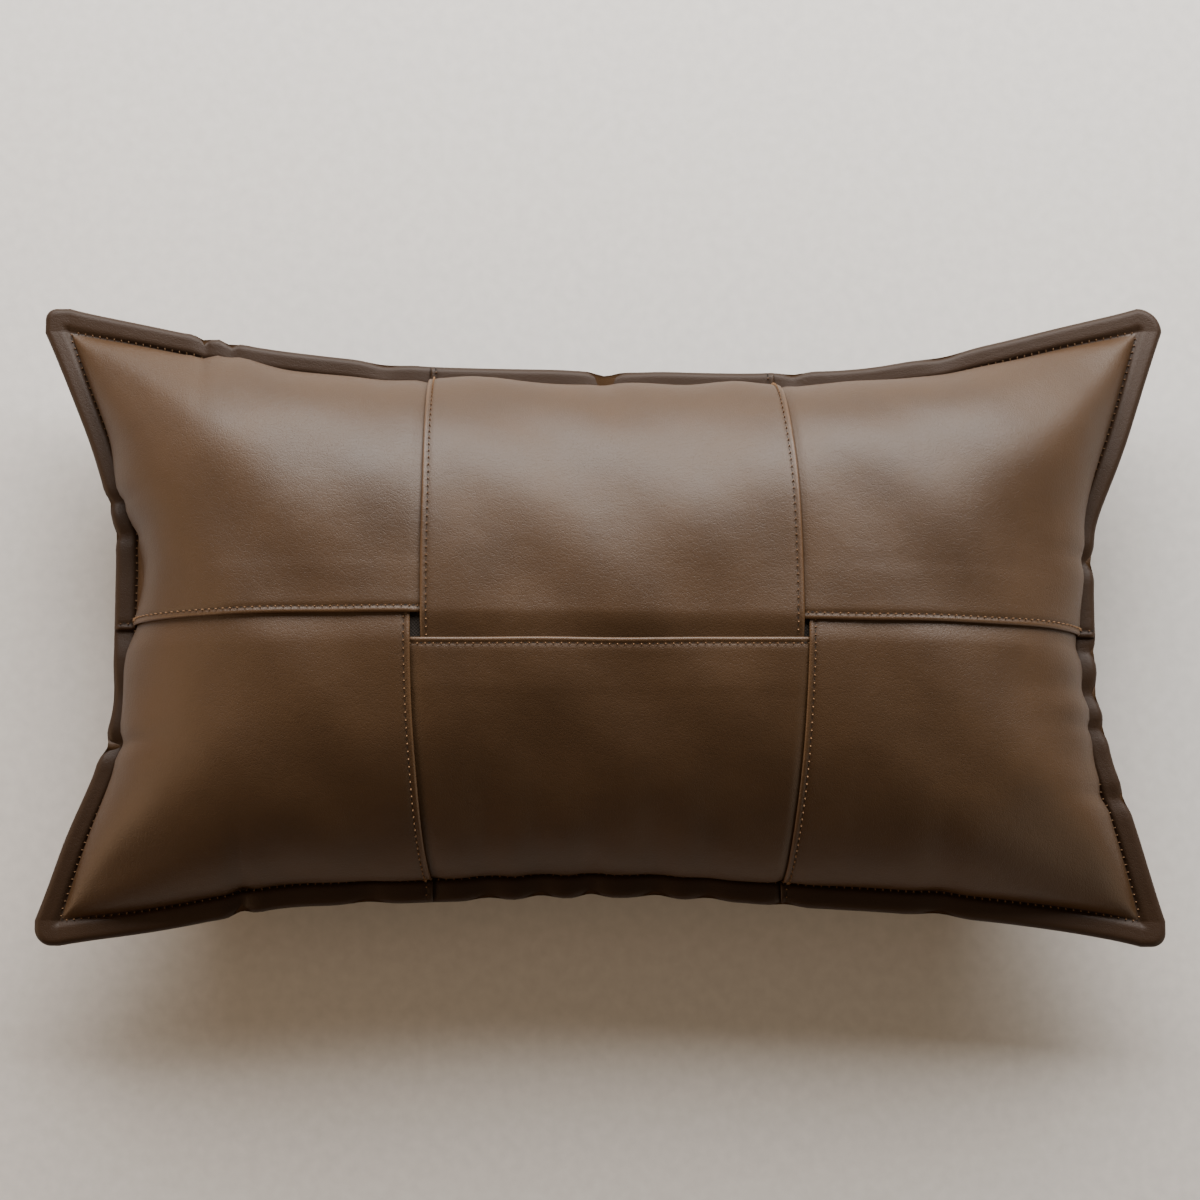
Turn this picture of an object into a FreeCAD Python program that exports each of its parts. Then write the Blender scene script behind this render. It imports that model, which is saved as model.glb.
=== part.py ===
import FreeCAD, Part

"""Woven-leather lumbar throw pillow, as a parametric document in millimetres.

Frame: X runs along the pillow's long axis, Y along its short axis and Z up. The pillow lies on its
back on the plane Z = 0, and the origin is the centre of its outline on that plane.

Two horizontal (weft) and three upright (warp) leather bands are woven over a lining to make the
front. Two leather panels with a zip between them make the back. Front and back are joined all round
by a stitched flange. A fibre-filled insert lies inside.

Every soft piece is laid out flat, as it was cut, in (s, t): s along X and t along Y from the middle.
lay() carries a flat point to where it lies on the stuffed pillow.
"""

import math
import os

import Sketcher

V = FreeCAD.Vector
doc = FreeCAD.newDocument("throw_pillow")


# ---------------------------------------------------------------- driving dimensions
DIMENSIONS = (
    # alias, millimetres (or a plain ratio, or "=" and a formula of other sizes), what it is
    ("cut_length", 500.0, "flat length of the cover over the flange"),
    ("cut_depth", 300.0, "flat depth of the cover over the flange"),
    ("flange_width", 11.0, "outer edge to the flange stitching"),
    ("length_lost_corner", 17.0, "length that the filling takes up over the corners"),
    ("length_lost_middle", 76.0, "length that the filling takes up at half depth"),
    ("depth_lost_corner", 28.0, "depth that the filling takes up over the corners"),
    ("depth_lost_middle", 73.0, "depth that the filling takes up at half length"),
    ("front_crown", 62.0, "height of the front above the flange"),
    ("back_crown", 52.0, "depth of the back below the flange"),
    ("seat_press", 0.2, "how far the back is pressed flat where it rests"),
    ("corner_round", 0.85, "0 for a square flange corner, 1 for a round one"),
    ("leather_thick", 1.2, "one ply of leather"),
    ("lining_thick", 0.5, "lining cloth"),
    ("ply_gap", 0.6, "air between two plies"),
    ("warp_gap_left", 5.0, "open gap between the left and centre warp bands"),
    ("warp_gap_right", 3.0, "open gap between the centre and right warp bands"),
    ("warp_width", 160.0, "width of the centre warp band"),
    ("warp_offset", 4.0, "how far the centre warp band sits right of the middle"),
    ("weft_gap", 9.5, "open gap between the two weft bands"),
    ("weft_offset", -7.5, "how far that gap sits above the middle"),
    ("hem_stitch", 2.5, "folded edge of a band to its stitching"),
    ("thread_thick", 0.25, "height of a thread row on the leather"),
    ("thread_width", 0.8, "width of a thread row"),
    ("thread_lift", 0.15, "air between leather and a hem's thread row"),
    ("hem_row_end", 4.0, "end of a hem's thread row to the foot of the crown"),
    ("seam_lift", 0.35, "air between leather and the flange's thread rows"),
    ("seam_set_out", 1.2, "foot of the crown to the flange's thread rows"),
    ("insert_clear_side", 8.0, "insert's seam inside the flange stitching"),
    ("insert_clear_front", 1.4, "insert below the lining"),
    ("insert_clear_back", 6.5, "insert above the back panels and the zip"),
    ("casing_thick", 0.6, "cotton casing of the insert"),
    ("zip_line", "=cut_depth * 11 / 60", "zip's centre line below the middle of the back"),
    ("zip_length", 270.0, "length of the zip's chain"),
    ("zip_gap", "=slider_width + 2.6", "between the two folded panel edges at the zip, clear of the slider"),
    ("zip_seam_gap", 0.8, "between those edges beyond the zip's ends"),
    ("zip_taper", 14.0, "length over which the gap closes"),
    ("tape_thick", 0.6, "zip tape"),
    ("tape_width", 14.0, "zip tape beyond its row of teeth"),
    ("tape_lift", 0.3, "air between leather and tape"),
    ("tape_clear", 0.35, "row of teeth to its tape"),
    ("teeth_reach", 3.2, "chain's centre line to the back of a row of teeth"),
    ("teeth_thick", 2.0, "thickness of the chain"),
    ("teeth_slit", 1.2, "slit that the slider's post runs in"),
    ("teeth_pitch", 2.4, "one tooth to the next"),
    ("tooth_width", 1.5, "width of one tooth"),
    ("slider_length", 12.0, "slider along the chain"),
    ("slider_width", 8.6, "slider across the chain"),
    ("slider_plate", 0.9, "thickness of a slider plate"),
    ("slider_clear", 0.2, "slider to the chain"),
    ("slider_lip", 0.45, "how far the slider's edges turn in over the tape"),
    ("slider_wall", 0.9, "slider's side walls"),
    ("post_width", 0.7, "slider's post between the rows of teeth"),
    ("post_length", 3.0, "that post along the chain"),
    ("bridge_height", 2.4, "bridge that holds the pull tab"),
    ("bridge_width", 2.0, "bridge across the chain"),
    ("bridge_wire", 0.8, "thickness of the bridge"),
    ("bridge_length", 5.0, "bridge along the chain"),
    ("tab_length", 24.0, "pull tab"),
    ("tab_width", 7.0, "pull tab"),
    ("tab_thick", 0.9, "pull tab"),
    ("tab_hole", 3.4, "hole at the tab's free end"),
    ("tab_bar", 1.0, "bar of the tab that runs under the bridge"),
    ("tab_eye", 3.2, "eye of the tab along its length"),
    ("tab_eye_clear", 0.3, "tab's eye to the bridge on each side"),
    ("tab_round", 2.4, "rounding of the tab's free end"),
    ("stop_length", 3.0, "metal stop at a chain's end"),
    ("stop_clear", 0.5, "chain's end to the stop"),
)

sizes = doc.addObject("Spreadsheet::Sheet", "Sizes")
for row, (alias, value, note) in enumerate(DIMENSIONS, start=1):
    sizes.set(f"A{row}", note)
    sizes.set(f"B{row}", str(value))
    sizes.setAlias(f"B{row}", alias)
doc.recompute()


def size(alias):
    """One driving dimension, as the sheet holds it now."""
    return float(getattr(sizes, alias))


# ---------------------------------------------------------------- worked-out places
HALF_S = size("cut_length") / 2
HALF_T = size("cut_depth") / 2
FLANGE = size("flange_width")
BODY_S = HALF_S - FLANGE
BODY_T = HALF_T - FLANGE
PLY = size("leather_thick")
GAP = size("ply_gap")

# Plies above the lining's underside, in the middle of the flange: lining, lower ply, upper ply.
LINING = (0.0, size("lining_thick"))
LOWER = (LINING[1] + GAP, LINING[1] + GAP + PLY)
UPPER = (LOWER[1] + GAP, LOWER[1] + GAP + PLY)
PLY_STEP = UPPER[0] - LOWER[0]
# Back panels, below the lining's underside.
BACK_INNER = -GAP / 2
BACK_OUTER = BACK_INNER - PLY

FLANGE_Z = size("back_crown") - BACK_OUTER - size("seat_press")

WARP_LEFT = size("warp_offset") - size("warp_width") / 2
WARP_RIGHT = size("warp_offset") + size("warp_width") / 2
LEFT_EDGE = WARP_LEFT - size("warp_gap_left")
RIGHT_EDGE = WARP_RIGHT + size("warp_gap_right")
UPPER_EDGE = size("weft_offset") + size("weft_gap") / 2
LOWER_EDGE = size("weft_offset") - size("weft_gap") / 2

# Shares of the half length or half depth of the body.
SHORT_SIDE_STRAIGHT = 0.15  # the short sides start to spread here
LONG_SIDE_STRAIGHT = 0.30  # and the long sides here
SPREAD_FROM = 0.55  # inside this share, flat lines stay straight
FRONT_FLAT = (0.0, 0.0)  # along X, along Y
FRONT_POWER = (4.0, 2.6)
BACK_FLAT = (0.70, 0.15)
BACK_POWER = (1.9, 2.0)
TAKE_UP_POWER = (4.0, 2.5)  # how late the crown takes up length and depth


# ---------------------------------------------------------------- the stuffed shape
def smooth(x):
    """0 below 0, 1 above 1, and a smooth step between."""
    x = min(1.0, max(0.0, x))
    return x * x * (3 - 2 * x)


def half_side(way, straight, share):
    """Half the lying length (or depth) of the body at a share of its half depth (or length)."""
    spread = smooth((abs(share) - straight) / (1 - straight))
    middle, corner = size(f"{way}_lost_middle"), size(f"{way}_lost_corner")
    return (size(f"cut_{way}") - middle + (middle - corner) * spread) / 2 - FLANGE


MIDDLE_X = half_side("length", SHORT_SIDE_STRAIGHT, 0)
MIDDLE_Y = half_side("depth", LONG_SIDE_STRAIGHT, 0)


def across(flat, body, middle, half, power):
    """A flat coordinate inside the body, carried to where it lies."""
    share = min(1.0, abs(flat) / body)
    ramp = max(0.0, (share - SPREAD_FROM) / (1 - SPREAD_FROM)) ** 2
    return share * body - (body - middle) * share**power + (half - middle) * ramp


def outline(s, t):
    """X and Y of a flat point."""
    share_s = min(1.0, abs(s) / BODY_S)
    share_t = min(1.0, abs(t) / BODY_T)
    half_x = half_side("length", SHORT_SIDE_STRAIGHT, share_t)
    half_y = half_side("depth", LONG_SIDE_STRAIGHT, share_s)
    x = across(s, BODY_S, MIDDLE_X, half_x, TAKE_UP_POWER[0])
    y = across(t, BODY_T, MIDDLE_Y, half_y, TAKE_UP_POWER[1])
    past_s = max(0.0, abs(s) - BODY_S) / FLANGE
    past_t = max(0.0, abs(t) - BODY_T) / FLANGE
    cut = size("corner_round") / 2
    x += FLANGE * past_s * math.sqrt(1 - cut * past_t**2)
    y += FLANGE * past_t * math.sqrt(1 - cut * past_s**2)
    return math.copysign(x, s), math.copysign(y, t)


def crown(share, flat, power):
    """Height share of the crown: 1 in its flat middle, 0 at the flange stitching."""
    share = min(1.0, max(0.0, share - flat) / (1 - flat))
    return 1 - share**power


def lay(s, t, side):
    """The point of the lining's underside (side 1) or of its mirror on the back (side -1)."""
    x, y = outline(s, t)
    flat, power = (FRONT_FLAT, FRONT_POWER) if side > 0 else (BACK_FLAT, BACK_POWER)
    height = size("front_crown") if side > 0 else size("back_crown")
    share = crown(abs(s) / BODY_S, flat[0], power[0]) * crown(abs(t) / BODY_T, flat[1], power[1])
    return V(x, y, FLANGE_Z + side * height * share)


# ---------------------------------------------------------------- sheets of cloth and leather
SEAM_STATIONS = (-30.0, -20.0, -12.0, -7.0, -3.5, -1.0, 1.0, 3.5, 7.0)  # from the flange stitching
STEP_STATIONS = (-14.0, -7.0, -1.5, 0.0, 0.3, 0.7, 1.0, 1.5, 7.0, 14.0)  # about a gap of the weave
COARSE = 14.0


def stations(low, high, body, gaps):
    """Flat coordinates for a sheet's rows, closer together at the flange and at each weave gap."""
    count = max(2, math.ceil(2 * body / COARSE))
    found = [-body + 2 * body * k / count for k in range(1, count)]
    found = [a for a in found if abs(a) < body + SEAM_STATIONS[0]]
    for side in (-1, 1):
        found += [side * (body + a) for a in SEAM_STATIONS]
    for start, end in gaps:
        near = [a for a in found if a < start - COARSE or a > end + COARSE]
        found = near + [start + a for a in STEP_STATIONS if a < 0]
        found += [start + a * (end - start) for a in STEP_STATIONS if 0 <= a <= 1]
        found += [end + a for a in STEP_STATIONS if a > 1]
    margin = 0.4
    inside = sorted(a for a in found if low + margin < a < high - margin)
    if len(inside) < 2:
        inside = [low + (high - low) / 3, high - (high - low) / 3]
    return [low, *inside, high]


S_GAPS = ((LEFT_EDGE, WARP_LEFT), (WARP_RIGHT, RIGHT_EDGE))
T_GAPS = ((LOWER_EDGE, UPPER_EDGE),)


def level(at, gaps, first):
    """Which ply a band lies in at a flat coordinate along it: 0 lower, 1 upper. It swaps at each gap."""
    ply = first
    for start, end in gaps:
        move = smooth((at - start) / (end - start))
        ply = ply + (1 - 2 * first) * move if start == gaps[0][0] else ply - (1 - 2 * first) * move
    return ply


def spline(points):
    """A smooth clamped surface over a grid of control points."""

    def knots(count):
        inner = count - 4
        return [float(k) for k in range(inner + 2)], [4] + [1] * inner + [4]

    surface = Part.BSplineSurface()
    u_knots, u_mults = knots(len(points))
    v_knots, v_mults = knots(len(points[0]))
    surface.buildFromPolesMultsKnots(points, u_mults, v_mults, u_knots, v_knots, False, False, 3, 3)
    return surface


def side_wall(top, bottom):
    """The ruled wall between matching edges of a sheet's two faces."""
    return Part.makeRuledSurface(Part.Edge(top), Part.Edge(bottom))


def sheet_solid(low_points, high_points):
    """A closed solid between two grids of control points."""
    low, high = spline(low_points), spline(high_points)
    faces = [low.toShape(), high.toShape()]
    u0, u1, v0, v1 = high.bounds()
    faces += [side_wall(high.uIso(u), low.uIso(u)) for u in (u0, u1)]
    faces += [side_wall(high.vIso(v), low.vIso(v)) for v in (v0, v1)]
    shell = Part.Shell(faces)
    shell.sewShape()
    solid = Part.Solid(Part.Shell(shell.Faces))
    if solid.Volume < 0:
        solid.reverse()
    return solid


def sheet(s_range, t_range, side, offsets, ply=None, gaps_s=S_GAPS, gaps_t=T_GAPS):
    """A ply over a flat rectangle. Either limit of t_range may be a function of s."""
    low_t, high_t = t_range
    low_at = low_t if callable(low_t) else (lambda s: low_t)
    high_at = high_t if callable(high_t) else (lambda s: high_t)
    rows_s = stations(s_range[0], s_range[1], BODY_S, gaps_s)
    rows_t = stations(low_at(0.0), high_at(0.0), BODY_T, gaps_t)
    span = rows_t[-1] - rows_t[0]
    grids = ([], [])
    for s in rows_s:
        low, high = low_at(s), high_at(s)
        shares = [(t - rows_t[0]) / span for t in rows_t]
        for grid, offset in zip(grids, offsets):
            row = []
            for share, flat in zip(shares, rows_t):
                t = low + share * (high - low) if callable(low_t) or callable(high_t) else flat
                lift = PLY_STEP * ply(s, t) if ply else 0.0
                row.append(lay(s, t, side) + V(0, 0, offset + lift))
            grid.append(row)
    return sheet_solid(*grids)


# ---------------------------------------------------------------- document objects
parts = {}


def keep(obj, label):
    """Names an object as one of the pillow's pieces."""
    obj.Label = label
    parts[label] = obj
    return obj


def soft_piece(label, solids):
    """A soft piece, whose shape is one solid or a group of separate ones."""
    piece = doc.addObject("Part::Feature", label)
    piece.Shape = solids[0] if len(solids) == 1 else Part.makeCompound(solids)
    return keep(piece, label)


def warp_ply(s, t):
    """A side warp band lies under the upper weft band and over the lower one."""
    return level(t, T_GAPS, 1)


def centre_ply(s, t):
    """The centre warp band lies the other way."""
    return level(t, T_GAPS, 0)


def upper_weft_ply(s, t):
    """The upper weft band goes over, under and over the warp."""
    return level(s, S_GAPS, 1)


def lower_weft_ply(s, t):
    """The lower weft band goes under, over and under the warp."""
    return level(s, S_GAPS, 0)


def make_front():
    """The five woven bands and the lining behind them."""
    whole_s, whole_t = (-HALF_S, HALF_S), (-HALF_T, HALF_T)
    soft_piece("front_lining", [sheet(whole_s, whole_t, 1, LINING)])
    soft_piece("warp_band_left", [sheet((-HALF_S, LEFT_EDGE), whole_t, 1, LOWER, warp_ply)])
    soft_piece("warp_band_center", [sheet((WARP_LEFT, WARP_RIGHT), whole_t, 1, LOWER, centre_ply)])
    soft_piece("warp_band_right", [sheet((RIGHT_EDGE, HALF_S), whole_t, 1, LOWER, warp_ply)])
    soft_piece("weft_band_upper", [sheet(whole_s, (UPPER_EDGE, HALF_T), 1, LOWER, upper_weft_ply)])
    soft_piece("weft_band_lower", [sheet(whole_s, (-HALF_T, LOWER_EDGE), 1, LOWER, lower_weft_ply)])


def thread_on(ply, lift):
    """Height range of a thread row lying on a ply."""
    low = ply[1] + size(lift)
    return low, low + size("thread_thick")


def make_hem_threads():
    """One row of stitching along each folded band edge of the weave."""
    row = size("thread_width") / 2
    hem = size("hem_stitch")
    lies = thread_on(LOWER, "thread_lift")
    end_s, end_t = (body - size("hem_row_end") for body in (BODY_S, BODY_T))

    def upright(s, ply):
        return sheet((s - row, s + row), (-end_t, end_t), 1, lies, ply)

    def level_row(t, ply):
        return sheet((-end_s, end_s), (t - row, t + row), 1, lies, ply)

    soft_piece("hem_thread_warp_left", [upright(LEFT_EDGE - hem, warp_ply)])
    centre = [upright(WARP_LEFT + hem, centre_ply), upright(WARP_RIGHT - hem, centre_ply)]
    soft_piece("hem_thread_warp_center", centre)
    soft_piece("hem_thread_warp_right", [upright(RIGHT_EDGE + hem, warp_ply)])
    soft_piece("hem_thread_weft_upper", [level_row(UPPER_EDGE + hem, upper_weft_ply)])
    soft_piece("hem_thread_weft_lower", [level_row(LOWER_EDGE - hem, lower_weft_ply)])


def ring_of_rows(side, offsets):
    """Four thread rows along the flange stitching."""
    row = size("thread_width")
    near_s, near_t = (body + size("seam_set_out") for body in (BODY_S, BODY_T))
    rows = []
    for way in (-1, 1):
        s_range = sorted((way * near_s, way * (near_s + row)))
        t_range = sorted((way * near_t, way * (near_t + row)))
        rows.append(sheet(s_range, (-near_t, near_t), side, offsets))
        rows.append(sheet((-near_s, near_s), t_range, side, offsets))
    return rows


def make_flange_threads():
    """The needle thread on the front and the bobbin thread on the back of the flange seam."""
    soft_piece("flange_needle_thread", ring_of_rows(1, thread_on(UPPER, "seam_lift")))
    low = BACK_OUTER - size("seam_lift")
    soft_piece("flange_bobbin_thread", ring_of_rows(-1, (low - size("thread_thick"), low)))


# ---------------------------------------------------------------- back panels
def flat_of(lying, along):
    """The flat s (along 0) or t (along 1) of a lying X or Y on the pillow's middle lines."""
    low, high = 0.0, BODY_T if along else BODY_S
    for _ in range(50):
        middle = (low + high) / 2
        at = outline(0.0, middle)[1] if along else outline(middle, 0.0)[0]
        low, high = (middle, high) if at < abs(lying) else (low, middle)
    return math.copysign(low, lying)


BACK = (BACK_OUTER, BACK_INNER)
ZIP_T = flat_of(-size("zip_line"), 1)
AHEAD = lay(0, ZIP_T - 1, -1) - lay(0, ZIP_T + 1, -1)
ZIP_TILT = math.atan2(AHEAD.z, -AHEAD.y)
ZIP_REACH = size("zip_length") / 2


def beside_zip(distance):
    """The flat t at a distance across the back from the chain's centre line."""
    return flat_of(distance * math.cos(ZIP_TILT) - size("zip_line"), 1)


ZIP_ROWS = ((beside_zip(-size("zip_gap") / 2), beside_zip(size("zip_gap") / 2)),)


def panel_edge(way, behind=0.0):
    """Flat t, as a function of s, of a line that far behind a panel's edge at the zip.

    way is 1 for the upper panel and -1 for the lower one. The two edges close up past the zip's ends.
    """

    def at(s):
        past = (abs(outline(s, 0.0)[0]) - ZIP_REACH - 2 * size("stop_length")) / size("zip_taper")
        wide, closed = size("zip_gap") / 2, size("zip_seam_gap") / 2
        return beside_zip(way * (wide + (closed - wide) * smooth(past) + behind))

    return at


def make_back():
    """Two leather panels, each with a folded and stitched edge at the zip."""
    whole_s = (-HALF_S, HALF_S)
    upper = sheet(whole_s, (panel_edge(1), HALF_T), -1, BACK, None, (), ZIP_ROWS)
    lower = sheet(whole_s, (-HALF_T, panel_edge(-1)), -1, BACK, None, (), ZIP_ROWS)
    ground = Part.makeBox(2 * HALF_S, 2 * HALF_T, FLANGE_Z, V(-HALF_S, -HALF_T, -FLANGE_Z))
    soft_piece("back_panel_upper", upper.cut(ground).Solids)
    soft_piece("back_panel_lower", [lower])
    hem, row = size("hem_stitch"), size("thread_width")
    low = BACK_OUTER - size("thread_lift")
    lies = (low - size("thread_thick"), low)
    reach = flat_of(ZIP_REACH, 0)
    for way, label in ((1, "zip_thread_upper"), (-1, "zip_thread_lower")):
        edges = (hem, hem + row) if way > 0 else (hem + row, hem)
        limits = [panel_edge(way, edge) for edge in edges]
        soft_piece(label, [sheet((-reach, reach), limits, -1, lies, None, (), ZIP_ROWS)])


# ---------------------------------------------------------------- zip
TAPE = (BACK_INNER + size("tape_lift"), BACK_INNER + size("tape_lift") + size("tape_thick"))
SEAT = lay(0, ZIP_T, -1) + V(0, 0, sum(TAPE) / 2)
# The chain's own frame: X along it, Z out of the back, Y across it towards the bottom edge.
ZIP_FRAME = FreeCAD.Placement(SEAT, FreeCAD.Rotation(V(1, 0, 0), 180 - math.degrees(ZIP_TILT)))

CHAIN_HALF = size("teeth_thick") / 2
INNER_WALL = CHAIN_HALF + size("slider_clear")
SLIDER_HALF = INNER_WALL + size("slider_plate")
REST_X = ZIP_REACH - size("slider_length") / 2 - size("stop_clear")
PIVOT_Z = SLIDER_HALF + (size("bridge_height") - size("bridge_wire")) / 2


def in_zip_frame(x, z=0.0):
    """A placement in the chain's frame, moved along and out of it."""
    return ZIP_FRAME.multiply(FreeCAD.Placement(V(x, 0, z), FreeCAD.Rotation()))


def make_tapes():
    """One woven tape behind each panel edge."""
    near = size("teeth_reach") + size("tape_clear")
    reach = flat_of(ZIP_REACH + 2 * size("stop_length"), 0)
    for way, label in ((1, "zipper_tape_upper"), (-1, "zipper_tape_lower")):
        t_range = sorted((beside_zip(way * near), beside_zip(way * (near + size("tape_width")))))
        soft_piece(label, [sheet((-reach, reach), t_range, -1, TAPE, None, (), ZIP_ROWS)])


def comb(way):
    """One row of teeth: a strip along the tape with teeth that point at the chain's centre line."""
    pitch, width = size("teeth_pitch"), size("tooth_width")
    root = way * (size("teeth_reach") - 0.9)
    back = way * size("teeth_reach")
    tip = way * size("teeth_slit") / 2
    count = int(size("zip_length") / pitch)
    start = -count * pitch / 2
    line = [V(start, back, -CHAIN_HALF), V(start, root, -CHAIN_HALF)]
    for k in range(count):
        first = start + (k + 0.5) * pitch - width / 2
        line += [V(first, root, -CHAIN_HALF), V(first, tip, -CHAIN_HALF)]
        line += [V(first + width, tip, -CHAIN_HALF), V(first + width, root, -CHAIN_HALF)]
    line += [V(-start, root, -CHAIN_HALF), V(-start, back, -CHAIN_HALF), line[0]]
    return Part.Face(Part.makePolygon(line)).extrude(V(0, 0, 2 * CHAIN_HALF))


def make_teeth():
    """Two rows of teeth, apart by the slit that the slider's post runs in."""
    for way, label in ((-1, "zipper_teeth_upper"), (1, "zipper_teeth_lower")):
        soft_piece(label, [comb(way)]).Placement = ZIP_FRAME


def bound_box(name, length, width, height, placement):
    """A box whose sides follow the sheet."""
    box = doc.addObject("Part::Box", name)
    for side, expression in (("Length", length), ("Width", width), ("Height", height)):
        box.setExpression(side, expression)
    box.Placement = placement
    return box


def make_stops():
    """A metal stop on each row at the closed end, and one across both rows at the open end."""
    length, reach, slit = size("stop_length"), size("teeth_reach"), size("teeth_slit")
    start = ZIP_REACH + size("stop_clear")
    pair = []
    for name, y in (("TopStopA", slit / 2), ("TopStopB", -reach)):
        place = ZIP_FRAME.multiply(FreeCAD.Placement(V(start, y, -CHAIN_HALF), FreeCAD.Rotation()))
        width = "Sizes.teeth_reach - Sizes.teeth_slit / 2"
        pair.append(bound_box(name, "Sizes.stop_length", width, "Sizes.teeth_thick", place))
    stops = doc.addObject("Part::Compound", "TopStops")
    stops.Links = pair
    keep(stops, "zipper_top_stops")
    place = ZIP_FRAME.multiply(FreeCAD.Placement(V(-start - length, -reach, -CHAIN_HALF), FreeCAD.Rotation()))
    width = "2 * Sizes.teeth_reach"
    bottom = bound_box("BottomStop", "Sizes.stop_length", width, "Sizes.teeth_thick", place)
    keep(bottom, "zipper_bottom_stop")


# ---------------------------------------------------------------- sketched metal pieces
def sketch_on(body, name, role):
    """A sketch on one of its own body's origin planes."""
    sketch = body.newObject("Sketcher::SketchObject", name)
    plane = next(f for f in body.Origin.OriginFeatures if f.Role == role)
    sketch.AttachmentSupport = [(plane, "")]
    sketch.MapMode = "FlatFace"
    return sketch


def rectangle(body, name, role, left, right, bottom, top):
    """A rectangle sketch, whose four sides lie where expressions of the sheet put them."""
    sketch = sketch_on(body, name, role)
    corners = (V(-1, -1, 0), V(1, -1, 0), V(1, 1, 0), V(-1, 1, 0))
    for k in range(4):
        sketch.addGeometry(Part.LineSegment(corners[k], corners[(k + 1) % 4]), False)
    for k in range(4):
        sketch.addConstraint(Sketcher.Constraint("Coincident", k, 2, (k + 1) % 4, 1))
        way = "Horizontal" if k % 2 == 0 else "Vertical"
        sketch.addConstraint(Sketcher.Constraint(way, k))
    sides = (("DistanceX", 0, left, -1), ("DistanceX", 1, right, 1))
    sides += (("DistanceY", 1, bottom, -1), ("DistanceY", 2, top, 1))
    for kind, line, expression, start in sides:
        constraint = Sketcher.Constraint(kind, -1, 1, line, 1, float(start))
        index = sketch.addConstraint(constraint)
        sketch.setExpression(f"Constraints[{index}]", expression)
    return sketch


def feature(body, kind, name, sketch, length=None):
    """A pad or pocket to both sides of its sketch, by an expression or through everything."""
    made = body.newObject(f"PartDesign::{kind}", name)
    made.Profile = sketch
    made.SideType = "Symmetric"
    if length:
        made.setExpression("Length", length)
    else:
        made.Type = "ThroughAll"
    return made


def make_slider():
    """The slider: two plates and a post between the rows of teeth, with a bridge for the tab."""
    body = doc.addObject("PartDesign::Body", "Slider")
    half_long = "Sizes.slider_length / 2"
    half_wide = "Sizes.slider_width / 2"
    inner = "(Sizes.teeth_thick / 2 + Sizes.slider_clear)"
    outer = f"({inner} + Sizes.slider_plate)"
    block = rectangle(body, "BlockSketch", "XY_Plane", f"-{half_long}", half_long, f"-{half_wide}", half_wide)
    feature(body, "Pad", "Block", block, f"2 * {outer}")
    wall = f"({half_wide} - Sizes.slider_wall)"
    channel = rectangle(body, "ChannelSketch", "YZ_Plane", f"-{wall}", wall, f"-{inner}", inner)
    feature(body, "Pocket", "Channel", channel)
    nose = f"{half_long} - Sizes.post_length"
    half_post = "Sizes.post_width / 2"
    post = rectangle(body, "PostSketch", "XY_Plane", nose, half_long, f"-{half_post}", half_post)
    feature(body, "Pad", "Post", post, f"2 * {outer}")
    lip = f"({inner} - Sizes.slider_lip)"
    near, far = half_post, f"({half_wide} * 2)"
    for name, left, right in (("TapeSlotA", near, far), ("TapeSlotB", f"-{far}", f"-{near}")):
        slot = rectangle(body, f"{name}Sketch", "YZ_Plane", left, right, f"-{lip}", lip)
        feature(body, "Pocket", name, slot)
    half_bridge, top = "Sizes.bridge_length / 2", f"{outer} + Sizes.bridge_height"
    arch = rectangle(body, "BridgeSketch", "XZ_Plane", f"-{half_bridge}", half_bridge, inner, top)
    feature(body, "Pad", "Bridge", arch, "Sizes.bridge_width")
    half_window, under = f"({half_bridge} - Sizes.bridge_wire)", f"{top} - Sizes.bridge_wire"
    window = rectangle(body, "WindowSketch", "XZ_Plane", f"-{half_window}", half_window, outer, under)
    feature(body, "Pocket", "Window", window)
    body.Placement = in_zip_frame(REST_X)
    keep(body, "zipper_slider")


def make_pull_tab():
    """The pull tab: its bar runs under the slider's bridge, and it lies back over the closed chain."""
    body = doc.addObject("PartDesign::Body", "PullTab")
    half_wide, half_bar = "Sizes.tab_width / 2", "Sizes.tab_bar / 2"
    plate = rectangle(body, "PlateSketch", "XY_Plane", "-Sizes.tab_length", half_bar, f"-{half_wide}", half_wide)
    feature(body, "Pad", "Plate", plate, "Sizes.tab_thick")
    half_eye = "(Sizes.bridge_width / 2 + Sizes.tab_eye_clear)"
    end = f"-({half_bar} + Sizes.tab_eye)"
    eye = rectangle(body, "EyeSketch", "XY_Plane", end, f"-{half_bar}", f"-{half_eye}", half_eye)
    feature(body, "Pocket", "Eye", eye)
    ring = sketch_on(body, "HoleSketch", "XY_Plane")
    ring.addGeometry(Part.Circle(V(-9, 0, 0), V(0, 0, 1), 1), False)
    ring.addConstraint(Sketcher.Constraint("PointOnObject", 0, 3, -1))
    across = ring.addConstraint(Sketcher.Constraint("DistanceX", 0, 3, -1, 1, 9.0))
    ring.setExpression(f"Constraints[{across}]", "Sizes.tab_length - Sizes.tab_hole")
    round_ = ring.addConstraint(Sketcher.Constraint("Diameter", 0, 2.0))
    ring.setExpression(f"Constraints[{round_}]", "Sizes.tab_hole")
    hole = feature(body, "Pocket", "Hole", ring)
    doc.recompute()
    edges = []
    for k, edge in enumerate(hole.Shape.Edges, start=1):
        middle = edge.CenterOfMass
        upright = abs(edge.tangentAt(edge.FirstParameter).z) > 0.99
        if upright and abs(middle.x + size("tab_length")) < 0.01:
            edges.append(f"Edge{k}")
    corners = body.newObject("PartDesign::Fillet", "Corners")
    corners.Base = (hole, edges)
    corners.setExpression("Radius", "Sizes.tab_round")
    body.Tip = corners
    body.Placement = in_zip_frame(REST_X, PIVOT_Z)
    keep(body, "zipper_pull_tab")


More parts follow.
